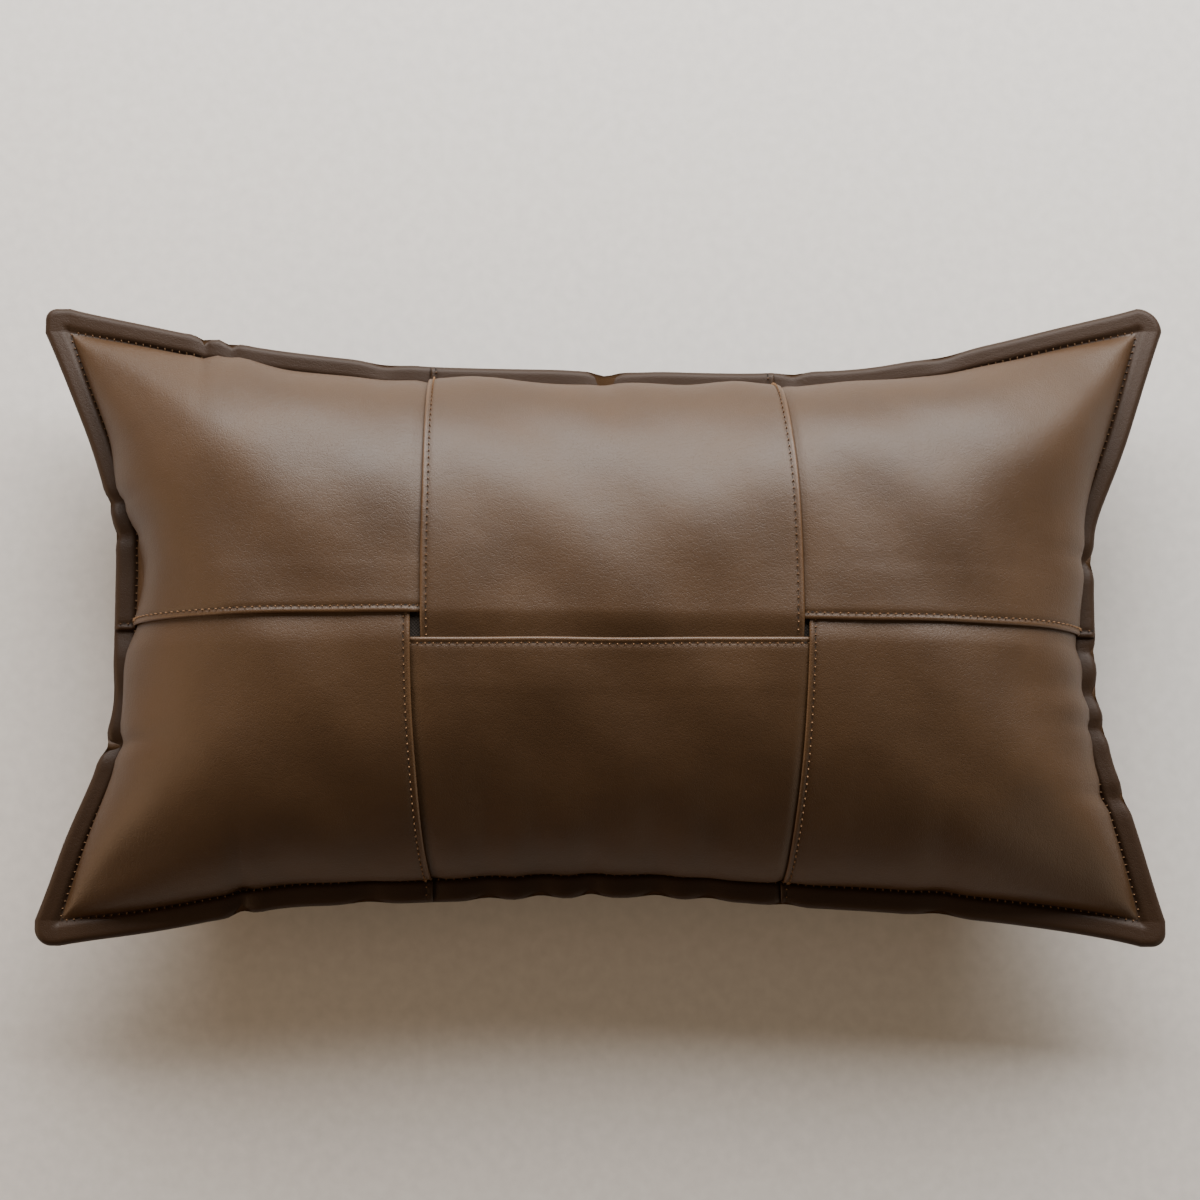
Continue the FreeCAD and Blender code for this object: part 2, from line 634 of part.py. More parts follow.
# ---------------------------------------------------------------- insert
INSERT_S = BODY_S - size("insert_clear_side")
INSERT_T = BODY_T - size("insert_clear_side")
CASING_GAP = 0.1


def insert_point(s, t, side, sink=0.0):
    """A point of the insert's inner face, which meets the other side's at the insert's own seam."""
    x, y = outline(s, t)
    front = side > 0
    flat, power = (FRONT_FLAT, FRONT_POWER) if front else (BACK_FLAT, BACK_POWER)
    clear = size("insert_clear_front") if front else size("insert_clear_back")
    height = (size("front_crown") if front else size("back_crown")) - clear - size("casing_thick")
    share = crown(abs(s) / INSERT_S, flat[0], power[0]) * crown(abs(t) / INSERT_T, flat[1], power[1])
    return V(x, y, FLANGE_Z + side * (CASING_GAP + height * share - sink))


def insert_grid(half_s, half_t, side, sink=0.0):
    """Control points of one face of the insert."""
    rows_s = stations(-half_s, half_s, BODY_S, ())
    rows_t = stations(-half_t, half_t, BODY_T, ())
    return [[insert_point(s, t, side, sink) for t in rows_t] for s in rows_s]


def make_insert():
    """Two panels of cotton casing, joined at a seam, and the fibre filling in them."""
    for side, label in ((1, "insert_casing_front"), (-1, "insert_casing_back")):
        inner = insert_grid(INSERT_S, INSERT_T, side)
        outer = insert_grid(INSERT_S, INSERT_T, side, -size("casing_thick"))
        soft_piece(label, [sheet_solid(inner, outer)])
    half_s, half_t = (half - size("insert_clear_side") for half in (INSERT_S, INSERT_T))
    below, above = (insert_grid(half_s, half_t, side, 2 * size("ply_gap")) for side in (-1, 1))
    soft_piece("insert_filling", [sheet_solid(below, above)])


# ---------------------------------------------------------------- build, check and write
make_front()
make_hem_threads()
make_flange_threads()
make_back()
make_tapes()
make_teeth()
make_stops()
make_slider()
make_pull_tab()
make_insert()
doc.recompute()

for obj in doc.Objects:
    bad = [word for word in obj.State if word in ("Invalid", "Error")]
    if bad:
        raise RuntimeError(f"{obj.Name} failed to build: {bad}")
for label, obj in parts.items():
    if obj.Shape.isNull() or not obj.Shape.isValid() or not obj.Shape.Solids:
        raise RuntimeError(f"{label} has no valid solid")

os.makedirs("parts", exist_ok=True)
for label, obj in parts.items():
    obj.Shape.exportStep(f"parts/{label}.step")
    box = obj.Shape.BoundBox
    print(f"{label}: {len(obj.Shape.Solids)} solid(s), {obj.Shape.Volume:.1f} mm3, z {box.ZMin:.2f}..{box.ZMax:.2f}")
print(f"chain seat {SEAT.x:.3f} {SEAT.y:.3f} {SEAT.z:.3f}, tilt {math.degrees(ZIP_TILT):.3f}, slider at x {REST_X:.3f}")
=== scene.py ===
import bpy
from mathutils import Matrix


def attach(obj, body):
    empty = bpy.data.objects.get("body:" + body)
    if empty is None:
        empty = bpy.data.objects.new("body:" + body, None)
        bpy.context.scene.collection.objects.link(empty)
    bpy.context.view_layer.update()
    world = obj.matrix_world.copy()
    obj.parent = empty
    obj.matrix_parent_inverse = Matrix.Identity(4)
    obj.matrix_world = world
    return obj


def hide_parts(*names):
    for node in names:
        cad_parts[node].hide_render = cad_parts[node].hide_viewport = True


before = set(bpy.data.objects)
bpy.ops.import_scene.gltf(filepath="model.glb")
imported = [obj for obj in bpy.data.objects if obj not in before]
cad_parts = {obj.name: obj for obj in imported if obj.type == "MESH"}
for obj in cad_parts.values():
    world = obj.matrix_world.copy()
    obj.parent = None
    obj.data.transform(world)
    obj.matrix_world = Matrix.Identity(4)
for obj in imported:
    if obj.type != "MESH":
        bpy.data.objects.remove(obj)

"""Woven-leather lumbar pillow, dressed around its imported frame.

Every soft piece is laid out flat, as it was cut, in (s, t): s along X and t along Y from the pillow's
middle, in metres. Cover carries a flat point to where it lies on the stuffed pillow, and each piece is
a sheet of its own thickness over that surface.
"""

import math

import bpy
import numpy as np
from bpy.props import FloatProperty, FloatVectorProperty, PointerProperty
from mathutils import Vector

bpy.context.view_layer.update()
MM = 0.001

bl_info = {
    "name": "Woven leather lumbar pillow",
    "version": (1, 0, 0),
    "blender": (4, 5, 0),
    "location": "View3D > Sidebar > Pillow",
    "description": "Builds the leather bands, back, stitching, zip and insert of a lumbar pillow",
    "category": "Add Mesh",
}


# ---------------------------------------------------------------- sizes and colours
def length(name, default, description):
    """A length in metres that a user would change."""
    return FloatProperty(name=name, description=description, default=default, unit="LENGTH", precision=4)


def tint(name, default, description):
    """A colour that a user would change."""
    return FloatVectorProperty(name=name, description=description, default=default, subtype="COLOR", size=3)


class PillowSizes(bpy.types.PropertyGroup):
    """Sizes of the cover, as cut and as it lies when it is stuffed."""

    cut_length: length("Cut length", 0.500, "Flat length of the cover over the flange")
    cut_depth: length("Cut depth", 0.300, "Flat depth of the cover over the flange")
    flange: length("Flange", 0.011, "Outer edge to the flange stitching")
    middle_x: length("Half length", 0.201, "Half the stuffed body's length at half depth")
    middle_y: length("Half depth", 0.1025, "Half the stuffed body's depth at half length")
    front_crown: length("Front crown", 0.062, "Height of the front above the flange")
    back_crown: length("Back crown", 0.052, "Depth of the back below the flange")
    flange_height: length("Flange height", 0.0533, "Flange above the surface that the pillow lies on")
    corner_droop: length("Corner droop", 0.006, "How far the corners hang below the middle of the flange")
    leather: length("Leather", 0.0011, "Thickness of one ply of leather")
    hem_width: length("Hem", 0.022, "Folded edge of a band to the end of its turned-in leather")
    hem_stitch: length("Hem stitch", 0.0026, "Folded edge of a band to its stitching")
    stitch_pitch: length("Stitch pitch", 0.0033, "One stitch to the next")
    thread: length("Thread", 0.00070, "Thickness of the sewing thread")
    zip_line: length("Zip line", 0.055, "Zip below the middle of the back")
    zip_gap: length("Zip gap", 0.0112, "Between the two panel edges at the zip")
    zip_reach: length("Zip reach", 0.135, "Middle of the zip to its end")


class PillowColours(bpy.types.PropertyGroup):
    """Colours of the leather, thread, cloth and metal."""

    # Random darker tone and pores, and also the painted shade of the flange.
    leather_deep_and_shade: tint("Leather, deep", (0.017, 0.0075, 0.0035), "Leather in its pores and folds")
    leather: tint("Leather", (0.063, 0.0298, 0.0095), "Leather on the flat")
    # Lighter leather at the folded edges: rubbed wear, and partly a painted highlight.
    leather_worn_and_highlit: tint("Leather, worn", (0.115, 0.058, 0.024), "Leather where it is rubbed")
    thread: tint("Thread", (0.270, 0.155, 0.082), "Sewing thread")
    # A dark disc in each needle hole: painted shade.
    needle_hole: tint("Needle hole", (0.012, 0.007, 0.004), "The hole beside each stitch")
    # Kept dark so that, where it shows in the gaps between the bands, it stands in as painted shade.
    lining: tint("Lining", (0.026, 0.017, 0.011), "Cotton lining")
    tape: tint("Zip tape", (0.036, 0.022, 0.014), "Woven zip tape")
    brass: tint("Brass", (0.400, 0.270, 0.130), "Zip teeth, slider and pull tab")
    cotton: tint("Cotton", (0.740, 0.710, 0.650), "Insert's casing")
    floor: tint("Floor", (0.650, 0.625, 0.600), "Plain pale floor")


# ---------------------------------------------------------------- the stuffed cover
# Half the body's lying size on each side, at shares of the way along it: -1 is the lower or left corner.
LEFT = (
    (-1.0, 0.2325), (-0.7, 0.2195), (-0.5, 0.2080), (-0.3, 0.2000), (0.3, 0.2000), (0.6, 0.2120), (1.0, 0.2345),
)
RIGHT = (
    (-1.0, 0.2325), (-0.7, 0.2215), (-0.45, 0.2105), (-0.2, 0.2040), (0.3, 0.2040), (0.6, 0.2195), (1.0, 0.2375),
)
TOP = (
    (-1.0, 0.1315), (-0.85, 0.1248), (-0.62, 0.1120), (-0.35, 0.1040), (0.0, 0.1020),
    (0.3, 0.1007), (0.5, 0.1028), (0.65, 0.1103), (0.85, 0.1238), (1.0, 0.1315),
)
BOTTOM = (
    (-1.0, 0.1270), (-0.8, 0.1218), (-0.7, 0.1172), (-0.58, 0.1105), (-0.3, 0.1085), (0.0, 0.1060),
    (0.2, 0.1075), (0.35, 0.1107), (0.6, 0.1140), (0.8, 0.1200), (1.0, 0.1275),
)
ROUNDING = 0.07  # how far a side's bends are rounded, as a share of half the side
SPREAD_FROM = 0.45
CORNER_ROUND = ((0.70, 0.45), (0.55, 1.0))  # radius over the flange: lower and upper corner, left then right
# Where the front leans out over the flange or stands back from it: side, place along it, lean, width.
LEANS = (
    ("left", 0.020, -0.0046, 0.020),
    ("left", 0.062, 0.0030, 0.016),
    ("left", -0.030, 0.0040, 0.024),
    ("right", 0.030, 0.0044, 0.028),
    ("right", -0.036, 0.0030, 0.022),
    ("top", -0.158, 0.0034, 0.014),
    ("top", -0.054, 0.0032, 0.022),
    ("top", 0.014, 0.0016, 0.018),
    ("top", 0.058, 0.0026, 0.016),
    ("top", 0.110, 0.0016, 0.018),
    ("bottom", -0.100, 0.0010, 0.030),
    ("bottom", 0.060, 0.0012, 0.030),
)
TAKE_UP_POWER, BACK_TAKE_UP_POWER = (5.7, 3.5), (4.0, 2.5)  # higher is steeper beside the flange
BACK_AS_FRONT = 0.7  # share of the way out from which the back takes up cloth as the front does
FRONT_POWER = (4.0, 2.7)
RIDGE_SHARE, RIDGE_POWER = 0.55, 1.35  # how far the lower half falls away straight from the middle fold
BACK_FLAT, BACK_POWER = (0.70, 0.15), (1.9, 2.0)

# Creases that run in from the flange stitching: side, place along it, depth, width, length.
CREASES = (
    ("top", -0.172, 0.0030, 0.0030, 0.026),
    ("top", -0.161, 0.0026, 0.0028, 0.020),
    ("top", -0.095, 0.0018, 0.0080, 0.030),
    ("top", 0.002, 0.0034, 0.0050, 0.026),
    ("top", 0.004, 0.0020, 0.0140, 0.060),
    ("top", 0.085, 0.0020, 0.0055, 0.020),
    ("top", 0.150, 0.0019, 0.0090, 0.034),
    ("bottom", -0.153, 0.0034, 0.0040, 0.028),
    ("bottom", -0.100, 0.0020, 0.0090, 0.040),
    ("bottom", -0.048, 0.0022, 0.0075, 0.050),
    ("bottom", -0.026, 0.0026, 0.0070, 0.045),
    ("bottom", -0.004, 0.0028, 0.0055, 0.030),
    ("bottom", 0.024, 0.0026, 0.0075, 0.050),
    ("bottom", 0.046, 0.0020, 0.0070, 0.040),
    ("bottom", 0.080, 0.0016, 0.0060, 0.024),
    ("bottom", 0.145, 0.0022, 0.0080, 0.040),
    ("left", 0.056, 0.0024, 0.0034, 0.024),
    ("left", 0.040, 0.0018, 0.0034, 0.020),
    ("left", -0.054, 0.0040, 0.0045, 0.034),
    ("left", -0.030, 0.0012, 0.0080, 0.030),
    ("right", 0.028, 0.0030, 0.0045, 0.024),
    ("right", -0.012, 0.0020, 0.0040, 0.028),
    ("right", -0.030, 0.0026, 0.0055, 0.032),
    ("right", -0.046, 0.0022, 0.0040, 0.026),
    ("right", -0.079, 0.0024, 0.0045, 0.024),
)
FOLD_HEADING = 38  # degrees from along the pillow
# Soft folds that point at the corners: corner's signs, turn off the diagonal, depth, reach.
CORNER_FOLDS = (
    (-1, 1, 0.12, 0.0026, 0.085),
    (-1, 1, -0.22, 0.0012, 0.070),
    (1, 1, 0.05, 0.0024, 0.080),
    (1, 1, -0.22, 0.0013, 0.065),
    (-1, -1, -0.06, 0.0026, 0.090),
    (-1, -1, 0.22, 0.0013, 0.070),
    (1, -1, 0.08, 0.0028, 0.085),
    (1, -1, -0.30, 0.0026, 0.070),
)


def smooth(x):
    """0 below 0, 1 above 1, and a smooth step between."""
    x = np.clip(x, 0.0, 1.0)
    return x * x * (3 - 2 * x)


def bell(x):
    """1 at 0, and fading to both sides."""
    return np.exp(-x * x)


def rounded(profile):
    """A side's profile as a fine table, with its bends rounded."""
    share, half = np.array(profile).T
    ends = [(half[k] - half[m]) / (share[k] - share[m]) for k, m in ((0, 1), (-1, -2))]
    share = np.concatenate([[-1.5], share, [1.5]])
    half = np.concatenate([[half[0] - 0.5 * ends[0]], half, [half[-1] + 0.5 * ends[1]]])
    fine = np.linspace(-1.5, 1.5, 601)
    reach = np.arange(-60, 61) * 0.005
    weight = bell(reach / ROUNDING)
    even = np.convolve(np.interp(fine, share, half), weight / weight.sum(), "same")
    keep = np.abs(fine) <= 1.0001
    return fine[keep], even[keep]


class Cover:
    """Carries flat points to where they lie on the stuffed pillow. side is 1 for the front, -1 for the back."""

    STEP = 0.008  # spacing of the cloth that is simulated
    CUT_APART = 0.002  # how far front and back lie from their seam in the flat cut
    PRESSURE, FRAMES = 2.6, 25
    CALM_ROUNDS = 6
    MOST_MOVED, MOVED_SHARE = 0.006, 2.6  # the settled shape's movement is limited, then shown at this strength
    ON_FLOOR = 0.00002

    def __init__(self, sizes):
        self.sizes = sizes
        self.body = (sizes.cut_length / 2 - sizes.flange, sizes.cut_depth / 2 - sizes.flange)
        self.edge = (sizes.cut_length / 2, sizes.cut_depth / 2)
        self.flange = sizes.flange
        self.settled = None
        profiles = {"left": LEFT, "right": RIGHT, "top": TOP, "bottom": BOTTOM}
        self.sides = {side: rounded(profile) for side, profile in profiles.items()}
        table = np.linspace(-self.body[1], self.body[1], 2001)
        self.flat_table = (self.outline(0 * table, table, -1)[1], table)
        table = np.linspace(-self.body[0], self.body[0], 2001)
        self.flat_table_s = (self.outline(table, 0 * table, -1)[0], table)

    def across(self, flat, body, middle, half, power):
        """A flat coordinate inside the body, carried to where it lies."""
        share = np.minimum(1.0, np.abs(flat) / body)
        ramp = np.clip((share - SPREAD_FROM) / (1 - SPREAD_FROM), 0, 1) ** 2
        lying = share * body - (body - middle) * share**power + (half - middle) * ramp
        return np.copysign(lying, flat)

    def leaning(self, out, body):
        """How much of a lean the front has that far out from the middle."""
        inward = body - out
        return smooth(inward / 0.008) * (1 - smooth((inward - 0.008) / 0.040))

    def outline(self, s, t, side=1):
        """X and Y of flat points."""
        u, v = np.clip(s / self.body[0], -1, 1), np.clip(t / self.body[1], -1, 1)
        left, right = np.interp(v, *self.sides["left"]), np.interp(v, *self.sides["right"])
        top, bottom = np.interp(u, *self.sides["top"]), np.interp(u, *self.sides["bottom"])
        half_x, half_y = np.where(s < 0, left, right), np.where(t > 0, top, bottom)
        powers = list(TAKE_UP_POWER)
        if side < 0:
            for k, off in enumerate((v, u)):
                same = smooth((np.abs(off) - BACK_AS_FRONT) / (1 - BACK_AS_FRONT))
                powers[k] = BACK_TAKE_UP_POWER[k] + (powers[k] - BACK_TAKE_UP_POWER[k]) * same
        x = self.across(s, self.body[0], self.sizes.middle_x, half_x, powers[0])
        y = self.across(t, self.body[1], self.sizes.middle_y, half_y, powers[1])
        for end, at, lean, wide in LEANS if side > 0 else ():
            if end in ("left", "right"):
                out = s * (1 if end == "right" else -1)
                x = x + np.sign(s) * lean * self.leaning(out, self.body[0]) * bell((t - at) / wide)
            else:
                out = t * (1 if end == "top" else -1)
                y = y + np.sign(t) * lean * self.leaning(out, self.body[1]) * bell((s - at) / wide)
        past_s = np.maximum(0, np.abs(s) - self.body[0]) / self.flange
        past_t = np.maximum(0, np.abs(t) - self.body[1]) / self.flange
        past_s, past_t = self.round_corner(past_s, past_t, s > 0, t > 0)
        return x + np.sign(s) * self.flange * past_s, y + np.sign(t) * self.flange * past_t

    def round_corner(self, past_s, past_t, right, upper):
        """Shares out across the flange, pressed into each corner's own round."""
        (low_left, high_left), (low_right, high_right) = CORNER_ROUND
        radius = np.where(right, np.where(upper, high_right, low_right), np.where(upper, high_left, low_left))
        near_s, near_t = np.minimum(past_s, 1 - radius), np.minimum(past_t, 1 - radius)
        over_s, over_t = past_s - near_s, past_t - near_t
        press = np.maximum(over_s, over_t) / np.maximum(1e-9, np.hypot(over_s, over_t))
        return near_s + over_s * press, near_t + over_t * press

    def base(self, s, t, side):
        """Where the lining's underside lies before the cloth settles."""
        x, y = self.outline(s, t, side)
        u, v = np.minimum(1, np.abs(s) / self.body[0]), np.minimum(1, np.abs(t) / self.body[1])
        droop = self.sizes.corner_droop * (np.clip((u - 0.5) / 0.5, 0, 1) * np.clip((v - 0.5) / 0.5, 0, 1)) ** 1.5
        seam = self.sizes.flange_height - droop
        if side > 0:
            fall = v ** (FRONT_POWER[1] + 1.4 * u**2)
            ridge = RIDGE_SHARE * smooth(-t / 0.004) * (1 - u**2)
            crown = (1 - u ** (FRONT_POWER[0] + 2.0 * v**2)) * (1 - fall - ridge * (v**RIDGE_POWER - fall))
            return np.stack([x, y, seam + self.sizes.front_crown * crown], -1)
        low_u = np.clip((u - BACK_FLAT[0]) / (1 - BACK_FLAT[0]), 0, 1)
        low_v = np.clip((v - BACK_FLAT[1]) / (1 - BACK_FLAT[1]), 0, 1)
        crown = (1 - low_u ** BACK_POWER[0]) * (1 - low_v ** BACK_POWER[1])
        return np.stack([x, y, seam - self.sizes.back_crown * crown], -1)

    def zip_hold(self, s, t):
        """1 beside the zip, where the back keeps the frame's own shape, and 0 away from it."""
        x, y = self.outline(s, t, -1)
        near_y = 1 - smooth((np.abs(y + self.sizes.zip_line) - 0.016) / 0.022)
        near_x = 1 - smooth((np.abs(x) - self.sizes.zip_reach - 0.012) / 0.030)
        return near_x * near_y

    def creases(self, s, t):
        """Depth of the creases and folds at flat points, and how far they pull the flange in."""
        depth = np.zeros(np.shape(s))
        places = {"top": (t, s, self.body[1]), "bottom": (-t, s, self.body[1])}
        places |= {"right": (s, t, self.body[0]), "left": (-s, t, self.body[0])}
        for side, at, deep, wide, reach in CREASES:
            out, along, body = places[side]
            ring = (along - at) / wide
            ripple = (1 - 0.55 * ring**2) * bell(ring / 1.3)
            inward = np.maximum(0, body - out)
            shallow = 0.3 + 0.7 * smooth(inward / 0.007) + 0.3 * smooth((out - body) / self.flange)
            depth += np.where(out > 0, deep * ripple * bell(inward / reach) * shallow, 0)
        for way_s, way_t, turn, deep, reach in CORNER_FOLDS:
            a, b = self.body[0] - way_s * s, self.body[1] - way_t * t
            heading = math.radians(FOLD_HEADING) + turn
            along = a * math.cos(heading) + b * math.sin(heading)
            off = (b * math.cos(heading) - a * math.sin(heading)) / (0.006 + 0.14 * np.maximum(0, along))
            inside = smooth((along - 0.006) / 0.050) * bell(np.maximum(0, along) / reach)
            depth += deep * inside * (1 - 0.6 * off**2) * bell(off / 1.2)
        return depth

    def waves(self, s, t):
        """The slow unevenness of a stuffed cover."""
        swell = np.sin(s * 71 + 0.6) * np.sin(t * 83 + 1.1) + 0.7 * np.sin(s * 47 - t * 61 + 2.2)
        return 0.00045 * (swell + 0.6 * np.sin(s * 113 + t * 97))

    def point(self, s, t, side):
        """Where the lining's underside lies."""
        s, t = np.broadcast_arrays(np.asarray(s, float), np.asarray(t, float))
        where = self.base(s, t, side)
        free = 1 - self.zip_hold(s, t) if side < 0 else np.ones(np.shape(s))
        if self.settled is not None:
            where = where + self.settled_at(s, t, side) * free[..., None]
        u, v = np.abs(s) / self.body[0], np.abs(t) / self.body[1]
        inside = smooth((1 - np.maximum(u, v)) / 0.12)
        deep = self.creases(s, t) * free
        where[..., 2] -= side * (deep - self.waves(s, t) * inside * free)
        pull = 0.9 * deep * smooth((np.maximum(u, v) - 0.93) / 0.06)
        where[..., 0] -= np.sign(s) * pull * (u >= v)
        where[..., 1] -= np.sign(t) * pull * (v > u)
        return where

    def normal(self, s, t, side, reach=0.0015):
        """Outward direction at flat points."""
        along = self.point(s + reach, t, side) - self.point(s - reach, t, side)
        up = self.point(s, t + reach, side) - self.point(s, t - reach, side)
        n = np.cross(along, up) * side
        return n / np.maximum(1e-12, np.linalg.norm(n, axis=-1, keepdims=True))

    def at(self, s, t, height, side):
        """Points that stand a height outside the lining. Nothing goes below the resting plane."""
        s, t = np.broadcast_arrays(np.asarray(s, float), np.asarray(t, float))
        where = self.point(s, t, side) + self.normal(s, t, side, 0.0022) * np.asarray(height)[..., None]
        if side < 0:
            where[..., 2] = np.maximum(where[..., 2], self.ON_FLOOR)
        return where

    def flat_t(self, y):
        """The flat t of a lying Y on the middle line."""
        return np.interp(y, *self.flat_table)

    def flat_s(self, x):
        """The flat s of a lying X on the middle line."""
        return np.interp(x, *self.flat_table_s)

    # the cloth simulation
    def settle(self):
        """Lets the cover settle as cloth over its filling, held at the flange stitching."""
        count = [int(round(2 * body / self.STEP)) for body in self.body]
        rows_s = np.linspace(-self.body[0], self.body[0], count[0] + 1)
        rows_t = np.linspace(-self.body[1], self.body[1], count[1] + 1)
        grid_s, grid_t = np.meshgrid(rows_s, rows_t, indexing="ij")
        front, back, rim = two_faces(grid_s.shape)
        index = {1: front, -1: back}
        start = {side: self.base(grid_s, grid_t, side) for side in (1, -1)}
        total = grid_s.size + int((~rim).sum())
        verts, flat = np.zeros((total, 3)), np.zeros((total, 3))
        faces = []
        for side in (1, -1):
            order = index[side]
            verts[order.ravel()] = start[side].reshape(-1, 3)
            pattern = np.stack([grid_s, grid_t, np.where(rim, 0.0, side * self.CUT_APART)], -1)
            flat[order.ravel()] = pattern.reshape(-1, 3)
            faces += quads(order, side < 0).tolist()
        cloth = new_mesh("cover_cloth", verts.tolist(), faces)
        cloth.shape_key_add(name="Basis")
        pattern = cloth.shape_key_add(name="Cut")
        pattern.data.foreach_set("co", flat.ravel())
        group = cloth.vertex_groups.new(name="flange_stitching")
        group.add(np.unique(index[1][rim]).tolist(), 1.0, "REPLACE")
        modifier = cloth.modifiers.new("Cloth", "CLOTH")
        leather = modifier.settings
        leather.rest_shape_key = pattern
        leather.vertex_group_mass = group.name
        leather.quality, leather.mass, leather.air_damping = 6, 0.3, 6.0
        leather.tension_stiffness = leather.compression_stiffness = 200
        leather.shear_stiffness = 50
        leather.bending_model, leather.bending_stiffness = "ANGULAR", 5.0
        leather.tension_damping = leather.compression_damping = 25
        leather.shear_damping, leather.bending_damping = 15, 5
        leather.use_pressure, leather.uniform_pressure_force = True, self.PRESSURE
        leather.effector_weights.gravity = 0
        modifier.collision_settings.use_collision = False
        modifier.point_cache.frame_end = self.FRAMES
        for step in range(1, self.FRAMES + 1):
            bpy.context.scene.frame_set(step)
        shown = cloth.evaluated_get(bpy.context.evaluated_depsgraph_get())
        found = np.zeros(total * 3)
        shown.data.vertices.foreach_get("co", found)
        found = found.reshape(-1, 3)
        bpy.data.objects.remove(cloth)
        bpy.context.scene.frame_set(1)
        self.settled = {}
        for side in (1, -1):
            moved = found[index[side].ravel()].reshape(start[side].shape) - start[side]
            self.settled[side] = self.calmed(moved)
        self.rows = (rows_s, rows_t)

    def calmed(self, moved):
        """The settled shape without the ripples of single cells, and never more than a few millimetres."""
        for _ in range(self.CALM_ROUNDS):
            for axis in (0, 1):
                before, after = np.roll(moved, 1, axis), np.roll(moved, -1, axis)
                mean = (before + 2 * moved + after) / 4
                keep = [slice(None)] * 3
                keep[axis] = slice(1, -1)
                moved = moved.copy()
                moved[tuple(keep)] = mean[tuple(keep)]
            moved[[0, -1], :] = moved[:, [0, -1]] = 0
        far = np.linalg.norm(moved, axis=-1, keepdims=True)
        return self.MOVED_SHARE * moved * self.MOST_MOVED / (self.MOST_MOVED + far)

    def settled_at(self, s, t, side):
        """How far the settled cloth lies from the base shape, by smooth interpolation between its cells."""
        rows_s, rows_t = self.rows
        grid = self.settled[side]
        u = np.clip((s - rows_s[0]) / (rows_s[1] - rows_s[0]), 0, len(rows_s) - 1.0)
        v = np.clip((t - rows_t[0]) / (rows_t[1] - rows_t[0]), 0, len(rows_t) - 1.0)
        i, j = np.floor(u).astype(int), np.floor(v).astype(int)
        total = np.zeros((*np.shape(s), 3))
        for a in range(-1, 3):
            for b in range(-1, 3):
                weight = cubic(u - i - a) * cubic(v - j - b)
                row, column = np.clip(i + a, 0, len(rows_s) - 1), np.clip(j + b, 0, len(rows_t) - 1)
                total += grid[row, column] * weight[..., None]
        return total


def cubic(x):
    """Smooth weight of a cell at a distance in cells."""
    x = np.abs(x)
    near = 2 / 3 - x**2 + x**3 / 2
    far = np.maximum(0, 2 - x) ** 3 / 6
    return np.where(x < 1, near, far)


# ---------------------------------------------------------------- meshes
def new_mesh(name, verts, faces):
    """A new object from its points and faces."""
    mesh = bpy.data.meshes.new(name)
    mesh.from_pydata(verts, [], faces)
    mesh.update()
    piece = bpy.data.objects.new(name, mesh)
    bpy.context.scene.collection.objects.link(piece)
    return piece


def rows(low, high, step, marks=()):
    """Places from low to high: the marks inside, and more between them where they are over a step apart."""
    inside = sorted({round(m, 6) for m in marks if low + 0.00004 < m < high - 0.00004})
    places = [low]
    for mark in [*inside, high]:
        gap = mark - places[-1]
        if gap < 0.00005:
            continue
        parts = max(1, math.ceil(gap / step - 1e-6))
        places += [places[-1] + gap * (k + 1) / parts for k in range(parts)]
    return np.array(places)


ROW_POINTS = 1200  # points along a row of stitches
FLANGE_EARLY = 0.0004  # the flange's leather starts this far inside its stitching
# Distances of a ply's rows, in millimetres: from a folded edge, from its hem's end, and in from the rim.
FOLD_ROWS = (0.08, 0.3, 0.65, 1.1, 1.6, 2.1, 2.6, 3.1, 3.7, 4.8, 6.5)
HEM_END_ROWS = (-2.5, -1.0, 0.8, 2.5)
FLANGE_ROWS = (
    0.12, 0.5, 1.1, 1.8, 2.6, 3.4, 4.3, 5.3, 6.3, 7.3, 8.3, 9.2, 9.9, 10.4, 10.8, 11.2, 11.7, 12.3,
    13.0, 13.9, 15.0, 16.3, 17.8, 19.6, 21.8,
)


def fold_marks(edge, inward, hem):
    """Rows beside a folded and stitched edge."""
    marks = [edge + inward * mm * MM for mm in FOLD_ROWS]
    return marks + [edge + inward * (hem + mm * MM) for mm in HEM_END_ROWS]


def flange_marks(half):
    """Rows across both flanges of a sheet that runs from -half to half."""
    return [way * (half - mm * MM) for way in (-1, 1) for mm in FLANGE_ROWS]


def two_faces(shape):
    """Point numbers of two faces over one grid that share their rim, and which points are the rim."""
    rim = np.zeros(shape, bool)
    rim[[0, -1], :] = rim[:, [0, -1]] = True
    first = np.arange(rim.size).reshape(shape)
    second = first.copy()
    second[~rim] = rim.size + np.arange((~rim).sum())
    return first, second, rim


def quads(order, flip):
    """Four-sided faces between the point numbers of a grid."""
    corners = np.stack([order[:-1, :-1], order[1:, :-1], order[1:, 1:], order[:-1, 1:]], -1).reshape(-1, 4)
    return corners[:, ::-1] if flip else corners


